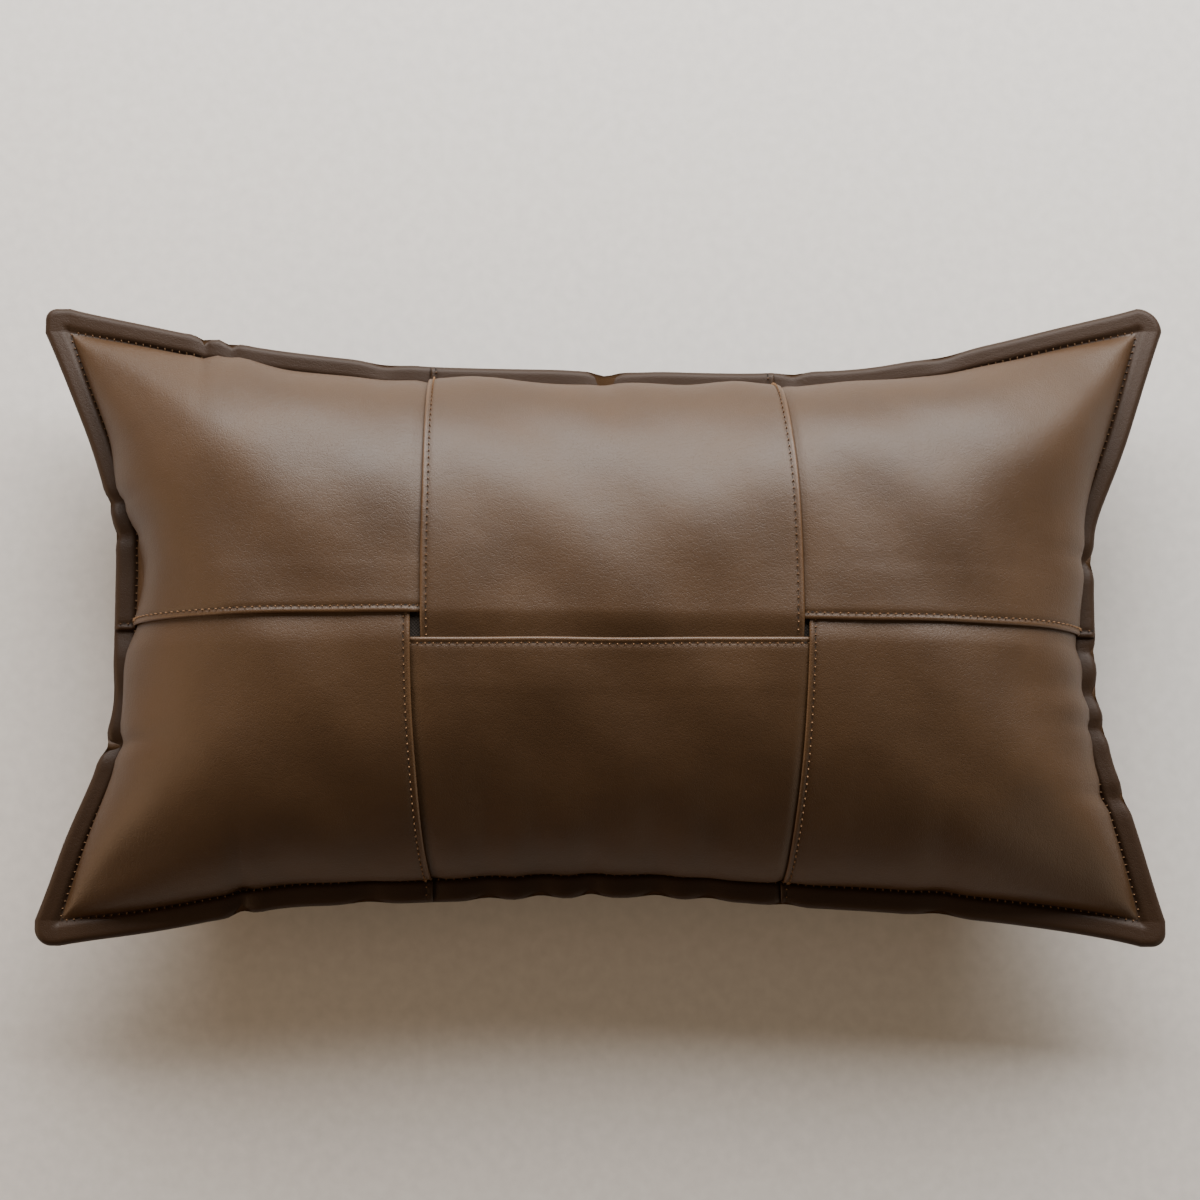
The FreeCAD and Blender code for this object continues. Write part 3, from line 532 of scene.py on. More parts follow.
def sheet_mesh(name, cover, side, grid_s, grid_t, inner, outer):
    """A closed sheet over a flat grid. inner and outer are its two heights, and they meet on its rim."""
    top, low, rim = two_faces(grid_s.shape)
    points = [cover.at(grid_s, grid_t, height, side).reshape(-1, 3) for height in (outer, inner)]
    verts = np.concatenate([points[0], points[1][~rim.ravel()]])
    faces = np.concatenate([quads(top, side < 0), quads(low, side > 0)])
    piece = new_mesh(name, verts.tolist(), faces.tolist())
    flat = np.stack([grid_s.ravel(), grid_t.ravel()], -1)
    flat = np.concatenate([flat, flat[~rim.ravel()]])
    layer = piece.data.uv_layers.new(name="cut")
    loops = np.zeros(len(piece.data.loops), np.int32)
    piece.data.loops.foreach_get("vertex_index", loops)
    layer.data.foreach_set("uv", flat[loops].ravel())
    past = np.maximum(np.abs(flat[:, 0]) - cover.body[0], np.abs(flat[:, 1]) - cover.body[1])
    on_flange = past[faces].min(axis=1) > -FLANGE_EARLY
    piece.data.polygons.foreach_set("use_smooth", [True] * len(faces))
    piece.data.polygons.foreach_set("material_index", on_flange.astype(int))
    return piece


def paint(piece, name, values):
    """A number at each point of a sheet, for its material. values covers the outer face's grid."""
    attribute = piece.data.attributes.new(name, "FLOAT", "POINT")
    data = np.zeros(len(piece.data.vertices), np.float32)
    flat = np.asarray(values, np.float32).ravel()
    data[: flat.size] = flat
    attribute.data.foreach_set("value", data)


def paint_shade_highlight_and_wear(piece, cover, s, t, distance):
    """Marks the flange with the turn beside its stitching, for painted shade, and the folded edges, where leather
    rubs, for wear and partly a painted highlight.
    """
    past = np.maximum(np.abs(s) - cover.body[0], np.abs(t) - cover.body[1])
    paint(piece, "flange", smooth((past + 0.0030) / 0.0032))
    paint(piece, "edge", bell(distance / 0.0016))


def finish_piece(piece, materials, body, nodes=()):
    """Gives a piece its material or materials and body, and hides the frame nodes that it stands for."""
    if not isinstance(materials, (list, tuple)):
        materials = [materials]
    kinds = [min(polygon.material_index, len(materials) - 1) for polygon in piece.data.polygons]
    piece.data.materials.clear()
    for material in materials:
        piece.data.materials.append(material)
    piece.data.polygons.foreach_set("material_index", kinds)
    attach(piece, body)
    if nodes:
        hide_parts(*nodes)


# ---------------------------------------------------------------- leather plies
class Weave:
    """Where the five bands lie in the flat pattern, and which one is uppermost."""

    LEFT_GAP = (-0.0789, -0.0747)  # right edge of the left warp band, left edge of the centre one
    RIGHT_GAP = (0.0848, 0.0868)
    WEFT_GAP = (-0.0123, -0.0036)  # upper edge of the lower weft band, lower edge of the upper one
    TILT = 0.0016  # how far the upper weft band's edge is above that at the left, and below it at the right
    LEAN_LEFT = (0.0003, 0.0072)  # how far a gap leans to the right by the upper flange, and by the lower one
    LEAN_RIGHT = (-0.0085, -0.0095)
    RISE = 0.0025  # how far before and after a gap the crossing band still rises
    UNDER, OVER = 0.0004, 0.0022  # underside of a band that passes under, and over

    def past(self, at, gap):
        """0 before a gap, 1 after it, and a slow rise across it."""
        return smooth((at - gap[0] + self.RISE) / (gap[1] - gap[0] + 2 * self.RISE))

    def lean(self, t, half, ends):
        """How far an upright edge leans at a flat t."""
        return np.where(t > 0, *ends) * np.minimum(1, np.abs(t) / half) ** 1.8

    def beside(self, s, t, half):
        """1 left and right of the centre warp band, 0 on it."""
        left = self.past(s - self.lean(t, half, self.LEAN_LEFT), self.LEFT_GAP)
        right = self.past(s - self.lean(t, half, self.LEAN_RIGHT), self.RIGHT_GAP)
        return 1 - left + right

    def tilt(self, s):
        """How far the upper weft band's folded edge lies below its middle height."""
        return self.TILT * np.tanh(s / 0.06)

    def above(self, s, t):
        """1 over the gap between the weft bands, 0 below it."""
        return self.past(t, (self.WEFT_GAP[0], self.WEFT_GAP[1] - self.tilt(s)))


WEAVE = Weave()


PRESSED, PRESS_REACH = 0.48, 0.0055  # share of its height at the flange stitching, and how far in that is felt
FLANGE_FULL = {1: 0.86, -1: 1.5}  # share of its height on the flange, front and back
FLANGE_RISE, FLANGE_FALL = 0.34, 0.70  # shares of the flange where it is full again, and where it starts to close


def squeeze(cover, s, t, side):
    """How much of its full height a ply keeps: pressed thin at the flange stitching and closed at the rim."""
    past = np.maximum(np.abs(s) - cover.body[0], np.abs(t) - cover.body[1])
    inside = 1 - (1 - PRESSED) * bell(np.minimum(0, past) / PRESS_REACH)
    w = np.clip(past / cover.flange, 0, 1)
    full = FLANGE_FULL[side]
    rise = PRESSED + (full - PRESSED) * smooth(w / FLANGE_RISE)
    fall = full * np.maximum(0, 1 - (np.maximum(0, w - FLANGE_FALL) / (1 - FLANGE_FALL)) ** 2.4) ** 0.5
    return np.where(past < 0, inside, np.minimum(rise, fall))


FOLD_RADIUS = 1.25 * MM
# Heights beside a folded edge: the hem's end, the groove of the stitching, and the swell on both sides of it.
HEM_STEP, GROOVE, SWELLS = 0.00016, 0.00030, ((0.00018, 0.0009, 0.0008), (0.00012, 0.0052, 0.0018))


def folded(distance, sizes):
    """(rounding, extra height) of a ply at a distance from its folded edge."""
    rounding = np.sqrt(np.maximum(0, 1 - (1 - np.minimum(1, distance / FOLD_RADIUS)) ** 2))
    hem = HEM_STEP * (1 - smooth((distance - sizes.hem_width + 0.0025) / 0.005))
    groove = -GROOVE * bell((distance - sizes.hem_stitch) / 0.00080)
    swell = sum(height * bell((distance - at) / wide) for height, at, wide in SWELLS)
    return rounding, hem + groove + swell


def ply_heights(cover, s, t, side, distance, under, sizes):
    """Heights of the two faces of a leather ply above the lining."""
    rounding, extra = folded(distance, sizes)
    keep = squeeze(cover, s, t, side)
    middle = under + sizes.leather / 2 + extra / 2
    half = (sizes.leather + extra) / 2 * rounding
    return keep * (middle - half), keep * (middle + half)


STRAIGHT = (0.0, 0.0)


class Band:
    """One leather band: its flat range, its folded edges and where it passes over."""

    def __init__(self, node, s_range, t_range, folds, over, lean=(STRAIGHT, STRAIGHT)):
        self.node, self.s_range, self.t_range = node, s_range, t_range
        self.folds, self.over, self.lean = folds, over, lean

    def grid(self, cover, sizes):
        """The band's rows, closer together at folds, at the weave's gaps and at the flange."""
        spans = ((WEAVE.LEFT_GAP[0], WEAVE.LEFT_GAP[1] + 0.005), (WEAVE.RIGHT_GAP[0] - 0.0095, WEAVE.RIGHT_GAP[1]))
        gap_s = [mark for low, high in spans for mark in np.arange(low - 0.001, high + 0.001, 0.0009)]
        gap_t = [WEAVE.WEFT_GAP[0] + k * 0.0011 for k in range(-2, 12)]
        marks_s, marks_t = flange_marks(cover.edge[0]), flange_marks(cover.edge[1])
        for axis, edge, inward in self.folds:
            (marks_s if axis == "s" else marks_t).extend(fold_marks(edge, inward, sizes.hem_width))
        along_s = self.s_range[1] - self.s_range[0] > 0.4
        s = rows(*self.s_range, 0.0030, marks_s + (gap_s if along_s else []))
        t = rows(*self.t_range, 0.0030, marks_t + ([] if along_s else gap_t))
        return np.meshgrid(s, t, indexing="ij")

    def distance(self, s, t):
        """Distance to the nearest folded edge."""
        far = np.full(np.shape(s), 1.0)
        for axis, edge, inward in self.folds:
            far = np.minimum(far, ((s if axis == "s" else t) - edge) * inward)
        return np.maximum(0, far)

    def heights(self, cover, s, t, sizes):
        """Heights of its two faces above the lining, where it is placed."""
        under = WEAVE.UNDER + (WEAVE.OVER - WEAVE.UNDER) * self.over(*self.placed(cover, s, t))
        return ply_heights(cover, s, t, 1, self.distance(s, t), under, sizes)

    def placed(self, cover, s, t):
        """Flat point of a point of the straight-cut band: its edges lean, or tilt, where it is sewn down."""
        low, high = self.s_range
        w = (s - low) / (high - low)
        down = 0.0
        if self.node == "weft_band_upper":
            down = WEAVE.tilt(s) * (1 - smooth((t - self.t_range[0]) / 0.08))
        low_lean, high_lean = (WEAVE.lean(t, cover.body[1], ends) for ends in self.lean)
        return s + low_lean * (1 - w) + high_lean * w, t - down

    def build(self, cover, sizes, material):
        """Makes the band."""
        s, t = self.grid(cover, sizes)
        inner, outer = self.heights(cover, s, t, sizes)
        piece = sheet_mesh("leather_" + self.node, cover, 1, *self.placed(cover, s, t), inner, outer)
        distance = self.distance(s, t)
        paint_shade_highlight_and_wear(piece, cover, s, t, distance)
        finish_piece(piece, material, "cover", [self.node])
        wide, long_ = sorted((self.s_range[1] - self.s_range[0], self.t_range[1] - self.t_range[0]))
        cut = (wide + sizes.hem_width * len(self.folds), long_)

    def stitch_row(self, cover, fold, sizes):
        """Flat points along the stitching of one folded edge, with the leather's height there."""
        axis, edge, inward = fold
        at = edge + inward * sizes.hem_stitch
        half = (cover.edge[1] if axis == "s" else cover.edge[0]) - 0.0015
        along = np.linspace(-half, half, ROW_POINTS)
        s, t = (np.full(ROW_POINTS, at), along) if axis == "s" else (along, np.full(ROW_POINTS, at))
        return *self.placed(cover, s, t), self.heights(cover, s, t, sizes)[1]


def make_bands(cover):
    """The three warp and two weft bands."""
    edge_s, edge_t = cover.edge
    left, right, weft = WEAVE.LEFT_GAP, WEAVE.RIGHT_GAP, WEAVE.WEFT_GAP
    whole_s, whole_t = (-edge_s, edge_s), (-edge_t, edge_t)

    def below(s, t):
        return 1 - WEAVE.above(s, t)

    def beside(s, t):
        return WEAVE.beside(s, t, cover.body[1])

    def between(s, t):
        return 1 - beside(s, t)

    centre_folds = [("s", left[1], 1), ("s", right[0], -1)]
    lean_left, lean_right = WEAVE.LEAN_LEFT, WEAVE.LEAN_RIGHT
    return (
        Band("warp_band_left", (-edge_s, left[0]), whole_t, [("s", left[0], -1)], below, (STRAIGHT, lean_left)),
        Band("warp_band_center", (left[1], right[0]), whole_t, centre_folds, WEAVE.above, (lean_left, lean_right)),
        Band("warp_band_right", (right[1], edge_s), whole_t, [("s", right[1], 1)], below, (lean_right, STRAIGHT)),
        Band("weft_band_upper", whole_s, (weft[1], edge_t), [("t", weft[1], 1)], beside),
        Band("weft_band_lower", whole_s, (-edge_t, weft[0]), [("t", weft[0], -1)], between),
    )


# ---------------------------------------------------------------- back panels
class BackPanel:
    """A leather back panel, with a folded edge at the zip that closes up past the zip's ends."""

    OUTSIDE = 0.0003  # its inner face outside the lining's level
    CLOSED = 0.0008  # the gap between the two panels past the zip
    ZIP_TILT = 19.35  # degrees that the zip leans with the back
    EARLY, TAPER = 0.0010, 0.011  # the gap closes from just before the tapes' ends, over that length

    def __init__(self, cover, sizes, way):
        self.cover, self.sizes, self.way = cover, sizes, way
        self.node = "back_panel_upper" if way > 0 else "back_panel_lower"

    def edge_t(self, s, behind=0.0):
        """Flat t of a line that far behind the folded edge."""
        past = (np.abs(self.cover.outline(s, 0 * s, -1)[0]) - self.sizes.zip_reach + self.EARLY) / self.TAPER
        gap = self.sizes.zip_gap + (self.CLOSED - self.sizes.zip_gap) * smooth(past)
        tilt = math.cos(math.radians(self.ZIP_TILT))
        return self.cover.flat_t(self.way * (gap / 2 + behind) * tilt - self.sizes.zip_line)

    def build(self, material):
        """Makes the panel."""
        cover, sizes = self.cover, self.sizes
        far = self.way * cover.edge[1]
        near = float(self.edge_t(np.array([0.0]))[0])
        marks = flange_marks(cover.edge[1]) + fold_marks(near, self.way, sizes.hem_width)
        t_rows = rows(*sorted((near, far)), 0.0035, marks)
        s_rows = rows(-cover.edge[0], cover.edge[0], 0.0035, flange_marks(cover.edge[0]))
        s, level = np.meshgrid(s_rows, t_rows, indexing="ij")
        distance = np.abs(level - near)
        shift = (self.edge_t(s) - near) * (1 - smooth(distance / 0.045))
        t = level + shift
        inner, outer = ply_heights(cover, s, t, -1, distance, self.OUTSIDE, sizes)
        piece = sheet_mesh("leather_" + self.node, cover, -1, s, t, inner, outer)
        paint_shade_highlight_and_wear(piece, cover, s, t, distance)
        finish_piece(piece, material, "cover", [self.node])
        cut = (abs(far - near) + sizes.hem_width, sizes.cut_length)

    def stitch_row(self, sizes):
        """Flat points along the zip stitching, with the leather's height there."""
        reach = float(self.cover.flat_s(sizes.zip_reach)) + 0.002
        s = np.linspace(-reach, reach, ROW_POINTS)
        t = self.edge_t(s, sizes.hem_stitch)
        near = np.full(ROW_POINTS, sizes.hem_stitch)
        return s, t, ply_heights(self.cover, s, t, -1, near, self.OUTSIDE, sizes)[1]


# ---------------------------------------------------------------- stitches
def deselect():
    """Leaves nothing selected."""
    bpy.ops.object.select_all(action="DESELECT")


STITCH_TURN = 7  # degrees that a stitch lies off its row
STITCH_STEP = 0.0005


def stitch_pattern(sizes):
    """One stitch along X: an arched twist of thread, with a dark disc at its end for the needle hole, as painted
    shade.
    """
    deselect()
    bpy.ops.mesh.primitive_uv_sphere_add(segments=8, ring_count=6, radius=0.5, rotation=(0, math.pi / 2, 0))
    thread = bpy.context.object
    thread.scale = (0.68 * sizes.stitch_pitch, 0.92 * sizes.thread, 0.8 * sizes.thread)
    bpy.ops.object.transform_apply(location=True, rotation=True, scale=False)
    bpy.ops.object.transform_apply(location=False, rotation=False, scale=True)
    verts = np.array([v.co for v in thread.data.vertices])
    share = verts[:, 0] / (0.34 * sizes.stitch_pitch)
    verts[:, 2] += sizes.thread * (0.36 - 0.40 * share**2)
    faces = [list(p.vertices) for p in thread.data.polygons]
    bpy.data.objects.remove(thread)
    deselect()
    # The needle hole: a flat dark disc as its painted shade.
    bpy.ops.mesh.primitive_circle_add(vertices=8, radius=0.5, fill_type="NGON")
    hole = bpy.context.object
    ring = np.array([v.co for v in hole.data.vertices])
    bpy.data.objects.remove(hole)
    ring = ring * (0.40 * sizes.stitch_pitch, 0.85 * sizes.thread, 0)
    ring += (0.5 * sizes.stitch_pitch, 0, 0.06 * sizes.thread)
    start = len(verts)
    holes = [list(range(start, start + len(ring)))]
    return np.concatenate([verts, ring]), faces, holes


def along(places, run, values):
    """Vectors at places along a path, from its length so far at each of its points."""
    return np.stack([np.interp(places, run, values[:, k]) for k in range(3)], -1)


def sew(name, cover, rows_of, side, sizes, materials, node):
    """Copies the stitch along rows of flat points on a side of the cover."""
    verts, faces, holes = stitch_pattern(sizes)
    all_verts, all_faces, kinds = [], [], []
    turn = math.radians(STITCH_TURN)
    for s, t, height in rows_of:
        path = cover.at(s, t, height, side)
        out = cover.normal(s, t, side, 0.0022)
        run = np.concatenate([[0], np.cumsum(np.linalg.norm(np.diff(path, axis=0), axis=1))])
        count = int(run[-1] / sizes.stitch_pitch)
        places = (np.arange(count) + 0.5) * run[-1] / count
        centre, up = along(places, run, path), along(places, run, out)
        x = along(places + STITCH_STEP, run, path) - along(places - STITCH_STEP, run, path)
        x /= np.linalg.norm(x, axis=1, keepdims=True)
        up -= x * (up * x).sum(1, keepdims=True)
        up /= np.linalg.norm(up, axis=1, keepdims=True)
        y = np.cross(up, x)
        x, y = x * math.cos(turn) + y * math.sin(turn), y * math.cos(turn) - x * math.sin(turn)
        for k in range(count):
            start = len(all_verts) * len(verts)
            axes = np.stack([x[k], y[k], up[k]])
            all_verts.append(verts @ axes + centre[k])
            all_faces += [[start + i for i in f] for f in faces + holes]
            # Material 1, on the needle-hole discs, is painted shade.
            kinds += [0] * len(faces) + [1] * len(holes)
    piece = new_mesh(name, np.concatenate(all_verts).tolist(), all_faces)
    finish_piece(piece, materials, "cover", [node])
    piece.data.polygons.foreach_set("material_index", kinds)
    for polygon in piece.data.polygons:
        polygon.use_smooth = polygon.material_index == 0


def ring_row(cover, side, sizes):
    """Flat points round the flange stitching, with the leather's height there."""
    out, radius = 0.0003, 0.006
    a, b = cover.body[0] + out, cover.body[1] + out
    points = []
    for way_s, way_t, start in ((1, 1, 0), (-1, 1, 90), (-1, -1, 180), (1, -1, 270)):
        for k in range(0, 91, 6):
            angle = math.radians(start + k)
            centre = (way_s * (a - radius), way_t * (b - radius))
            points.append((centre[0] + radius * math.cos(angle), centre[1] + radius * math.sin(angle)))
    points.append(points[0])
    points = np.array(points)
    run = np.concatenate([[0], np.cumsum(np.linalg.norm(np.diff(points, axis=0), axis=1))])
    at = np.linspace(0, run[-1], 3000)
    s, t = (np.interp(at, run, points[:, k]) for k in range(2))
    top = WEAVE.OVER + sizes.leather if side > 0 else BackPanel.OUTSIDE + sizes.leather
    return s, t, squeeze(cover, s, t, side) * top


# ---------------------------------------------------------------- materials
class Value:
    """A number socket. Arithmetic on it adds the Math nodes."""

    def __init__(self, tree, socket):
        self.tree, self.socket = tree, socket

    def math(self, operation, *others):
        node = self.tree.nodes.new("ShaderNodeMath")
        node.operation = operation
        for slot, value in zip(node.inputs, (self, *others)):
            if isinstance(value, Value):
                self.tree.links.new(value.socket, slot)
            else:
                slot.default_value = value
        return Value(self.tree, node.outputs[0])

    def __add__(self, other):
        return self.math("ADD", other)

    __radd__ = __add__

    def __mul__(self, other):
        return self.math("MULTIPLY", other)

    __rmul__ = __mul__

    def __sub__(self, other):
        return self.math("SUBTRACT", other)

    def __rsub__(self, other):
        return (self * -1.0) + other


class Finish:
    """A material being built: one node at a time, ending in a Principled shader."""

    def __init__(self, name):
        self.material = bpy.data.materials.new(name)
        self.material.use_nodes = True
        self.tree = self.material.node_tree
        self.shader = next(n for n in self.tree.nodes if n.type == "BSDF_PRINCIPLED")
        self.place = self.node("ShaderNodeTexCoord").outputs["Object"]

    def node(self, kind, settings=(), **inputs):
        """Adds a node. settings are set first, then the values or links of its sockets."""
        made = self.tree.nodes.new(kind)
        for key, value in dict(settings).items():
            if key == "stops":
                while len(made.color_ramp.elements) < len(value):
                    made.color_ramp.elements.new(0.5)
                for element, (at, level) in zip(made.color_ramp.elements, value):
                    element.position, element.color = at, (level, level, level, 1)
            else:
                setattr(made, key, value)
        for key, value in inputs.items():
            self.set(made.inputs[key.replace("_", " ")], value)
        return made

    def set(self, socket, value):
        """Links a value to a socket, or sets it there."""
        if isinstance(value, Value):
            value = value.socket
        if isinstance(value, bpy.types.NodeSocket):
            self.tree.links.new(value, socket)
        else:
            socket.default_value = value

    def noise(self, scale, detail=3.0, roughness=0.5, distortion=0.0):
        """Soft random patches. A larger scale makes them smaller."""
        sockets = {"Scale": scale, "Detail": detail, "Roughness": roughness, "Distortion": distortion}
        made = self.node("ShaderNodeTexNoise", Vector=self.place, **sockets)
        return Value(self.tree, made.outputs["Fac"])

    def cells(self, scale, feature="F1"):
        """Distance to the middle or the edge of small random cells."""
        made = self.node("ShaderNodeTexVoronoi", {"feature": feature}, Vector=self.place, Scale=scale)
        return Value(self.tree, made.outputs["Distance"])

    def number(self, name):
        """A number that was painted on the piece."""
        made = self.node("ShaderNodeAttribute", {"attribute_name": name})
        return Value(self.tree, made.outputs["Fac"])

    def ramp(self, value, *stops):
        """A number remapped through (place, level) stops."""
        made = self.node("ShaderNodeValToRGB", {"stops": stops}, Fac=value)
        return Value(self.tree, made.outputs["Color"])

    def mix(self, share, first, second):
        """A colour between two colours."""
        made = self.tree.nodes.new("ShaderNodeMix")
        made.data_type = "RGBA"
        self.set(made.inputs[0], share)
        for socket, value in ((made.inputs[6], first), (made.inputs[7], second)):
            self.set(socket, (*value, 1.0) if isinstance(value, (tuple, list)) or hasattr(value, "r") else value)
        return made.outputs[2]

    def bump(self, height, distance, strength=1.0, over=None):
        """A surface direction from a height, on top of another one if that is given."""
        made = self.node("ShaderNodeBump", Height=height, Distance=distance, Strength=strength)
        if over is not None:
            self.tree.links.new(over, made.inputs["Normal"])
        return made.outputs["Normal"]

    def done(self, **inputs):
        """Sets the shader's sockets and returns the material."""
        for key, value in inputs.items():
            self.set(self.shader.inputs[key.replace("_", " ")], value)
        return self.material


def leather_finish(colours, name="waxed_leather", sheen=0.43, flange_shade_extra=0.0):
    """Smooth waxed leather: fine pores, soft creasing, rubbed edges that are partly a painted highlight, painted
    shade on the flange and a low even sheen.
    """
    f = Finish(name)
    cloud = f.noise(9.0, 4.0, 0.55)
    mottle = f.noise(38.0, 5.0, 0.6)
    edge, flange = f.number("edge"), f.number("flange")
    dark, plain, worn = (tuple(c) for c in (colours.leather_deep_and_shade, colours.leather, colours.leather_worn_and_highlit))
    tone = f.ramp(cloud * 0.55 + mottle * 0.45, (0.30, 0.0), (0.72, 1.0))
    colour = f.mix(0.55, f.mix(tone, dark, plain), plain)
    # Folded edges lightened: rubbed wear, and partly a painted highlight.
    rubbed = f.ramp(edge * (mottle + 0.35), (0.25, 0.0), (0.9, 1.0))
    colour = f.mix(rubbed * 0.55, colour, worn)
    # Painted shade: the flange is darkened towards the deep leather colour.
    colour = f.mix(flange * (0.55 + flange_shade_extra), colour, dark)
    pores = f.cells(1500.0)
    pore_depth = f.ramp(pores, (0.0, 0.0), (0.45, 1.0))
    colour = f.mix(0.22 - pore_depth * 0.22, colour, dark)
    wrinkle = f.noise(420.0, 3.0, 0.6, distortion=0.4)
    lines = f.cells(620.0, "DISTANCE_TO_EDGE")
    creasing = f.ramp(lines, (0.0, 0.0), (0.12, 1.0))
    soft = f.noise(95.0, 3.0, 0.5)
    first = f.bump(soft, 0.0010, 0.22)
    second = f.bump(creasing * 0.5 + wrinkle * 0.5, 0.00018, 0.38, first)
    third = f.bump(pore_depth, 0.00010, 0.5, second)
    rough = 0.42 + 0.10 * mottle + 0.08 * cloud - 0.07 * edge + 0.04 * flange
    gloss = {"Specular_IOR_Level": sheen, "Coat_Weight": 0.04, "Coat_Roughness": 0.35}
    return f.done(Base_Color=colour, Roughness=rough, Normal=third, **gloss)


def cloth_finish(name, colour, threads=1400.0, rough=0.9):
    """A plain weave of fine yarn."""
    f = Finish(name)
    axes = f.node("ShaderNodeSeparateXYZ", Vector=f.place)
    across, along = (Value(f.tree, axes.outputs[k]) for k in ("X", "Y"))
    over = (across * threads * math.pi).math("SINE") * (along * threads * math.pi).math("SINE")
    fleck = f.noise(300.0, 3.0)
    shade = tuple(0.6 * c for c in colour)
    tone = f.ramp(over * 0.3 + fleck * 0.7, (0.1, 0.0), (0.8, 1.0))
    return f.done(Base_Color=f.mix(tone, shade, tuple(colour)), Roughness=rough, Normal=f.bump(over, 0.0002, 0.5))


def thread_finish(colours):
    """Twisted thread with a slight sheen."""
    f = Finish("twisted_thread")
    twist = f.noise(2600.0, 2.0)
    shade = tuple(0.55 * c for c in colours.thread)
    tone = f.ramp(twist, (0.3, 0.0), (0.7, 1.0))
    colour = f.mix(tone, shade, tuple(colours.thread))
    return f.done(Base_Color=colour, Roughness=0.8, Specular_IOR_Level=0.2, Normal=f.bump(twist, 0.0002, 0.5))


def plain_finish(name, colour, rough):
    """A colour with a little unevenness."""
    f = Finish(name)
    fleck = f.noise(180.0, 3.0)
    shade = tuple(0.8 * c for c in colour)
    return f.done(Base_Color=f.mix(fleck, shade, tuple(colour)), Roughness=rough)


def brass_finish(colours):
    """Antique brass: darkened in its hollows, rubbed brighter, with fine scratches."""
    f = Finish("antique_brass")
    stain = f.noise(260.0, 4.0, 0.6)
    scratch = f.noise(1800.0, 2.0, 0.5)
    dark = tuple(0.35 * c for c in colours.brass)
    tone = f.ramp(stain, (0.32, 0.0), (0.66, 1.0))
    rough = 0.30 + 0.25 * stain
    colour = f.mix(tone, dark, tuple(colours.brass))
    return f.done(Base_Color=colour, Metallic=1.0, Roughness=rough, Normal=f.bump(scratch, 0.00004, 0.4))


# ---------------------------------------------------------------- operators
class Work:
    """What the operators pass on: the settled cover and the materials made so far."""

    cover = None
    bands = ()
    panels = ()
    finishes = {}


def finish_of(name, maker, *args):
    """A material, made the first time it is asked for."""
    if name not in Work.finishes:
        Work.finishes[name] = maker(*args)
    return Work.finishes[name]


def leathers(colours):
    """The leather of the body, and the duller leather of the flange, with more painted shade."""
    body = finish_of("leather", leather_finish, colours)
    return [body, finish_of("flange", leather_finish, colours, "flange_leather", 0.24, 0.18)]


class PILLOW_OT_settle_cover(bpy.types.Operator):
    """Works out where the stuffed cover lies, by a cloth simulation of its front and back"""

    bl_idname = "pillow.settle_cover"
    bl_label = "Settle cover"

    def execute(self, context):
        sizes = context.scene.pillow_sizes
        Work.cover = Cover(sizes)
        Work.cover.settle()
        Work.bands = make_bands(Work.cover)
        Work.panels = tuple(BackPanel(Work.cover, sizes, way) for way in (1, -1))
        return {"FINISHED"}


class PILLOW_OT_weave_front(bpy.types.Operator):
    """Makes the five woven leather bands"""

    bl_idname = "pillow.weave_front"
    bl_label = "Woven front"

    def execute(self, context):
        leather = leathers(context.scene.pillow_colours)
        for band in Work.bands:
            band.build(Work.cover, context.scene.pillow_sizes, leather)
        return {"FINISHED"}


class PILLOW_OT_back_panels(bpy.types.Operator):
    """Makes the two leather back panels"""

    bl_idname = "pillow.back_panels"
    bl_label = "Back panels"

    def execute(self, context):
        leather = leathers(context.scene.pillow_colours)
        for panel in Work.panels:
            panel.build(leather)
        return {"FINISHED"}


class PILLOW_OT_lining(bpy.types.Operator):
    """Makes the cotton lining behind the woven bands, dark so that it shows as painted shade in the gaps between
    them
    """

    bl_idname = "pillow.lining"
    bl_label = "Lining"

    def execute(self, context):
        cover = Work.cover
        inset = 0.0006
        spans = [rows(-edge + inset, edge - inset, 0.005, flange_marks(edge)) for edge in cover.edge]
        s, t = np.meshgrid(*spans, indexing="ij")
        rim = np.minimum(cover.edge[0] - inset - np.abs(s), cover.edge[1] - inset - np.abs(t))
        outer = 0.00030 * squeeze(cover, s, t, 1) * np.minimum(1, rim / 0.0005)
        piece = sheet_mesh("lining_cloth_front", cover, 1, s, t, 0 * outer, outer)
        # Dark lining: painted shade where it shows between the bands.
        cloth = finish_of("lining", cloth_finish, "lining_cotton", context.scene.pillow_colours.lining)
        finish_piece(piece, cloth, "cover", ["front_lining"])
        return {"FINISHED"}


class PILLOW_OT_stitching(bpy.types.Operator):
    """Sews the hems, the flange and the zip panels"""

    bl_idname = "pillow.stitching"
    bl_label = "Stitching"

    def execute(self, context):
        sizes, colours, cover = context.scene.pillow_sizes, context.scene.pillow_colours, Work.cover
        thread = [
            finish_of("thread", thread_finish, colours),
            # The needle-hole material is painted shade.
            finish_of("hole", plain_finish, "needle_hole", colours.needle_hole, 0.9),
        ]
        for band in Work.bands:
            lines = [band.stitch_row(cover, fold, sizes) for fold in band.folds]
            node = "hem_thread_" + band.node.replace("_band", "")
            sew("stitches_" + band.node, cover, lines, 1, sizes, thread, node)
        sew("stitches_flange_front", cover, [ring_row(cover, 1, sizes)], 1, sizes, thread, "flange_needle_thread")
        sew("stitches_flange_back", cover, [ring_row(cover, -1, sizes)], -1, sizes, thread, "flange_bobbin_thread")
        for panel, end in zip(Work.panels, ("upper", "lower")):
            sew(f"stitches_zip_{end}", cover, [panel.stitch_row(sizes)], -1, sizes, thread, f"zip_thread_{end}")
        return {"FINISHED"}


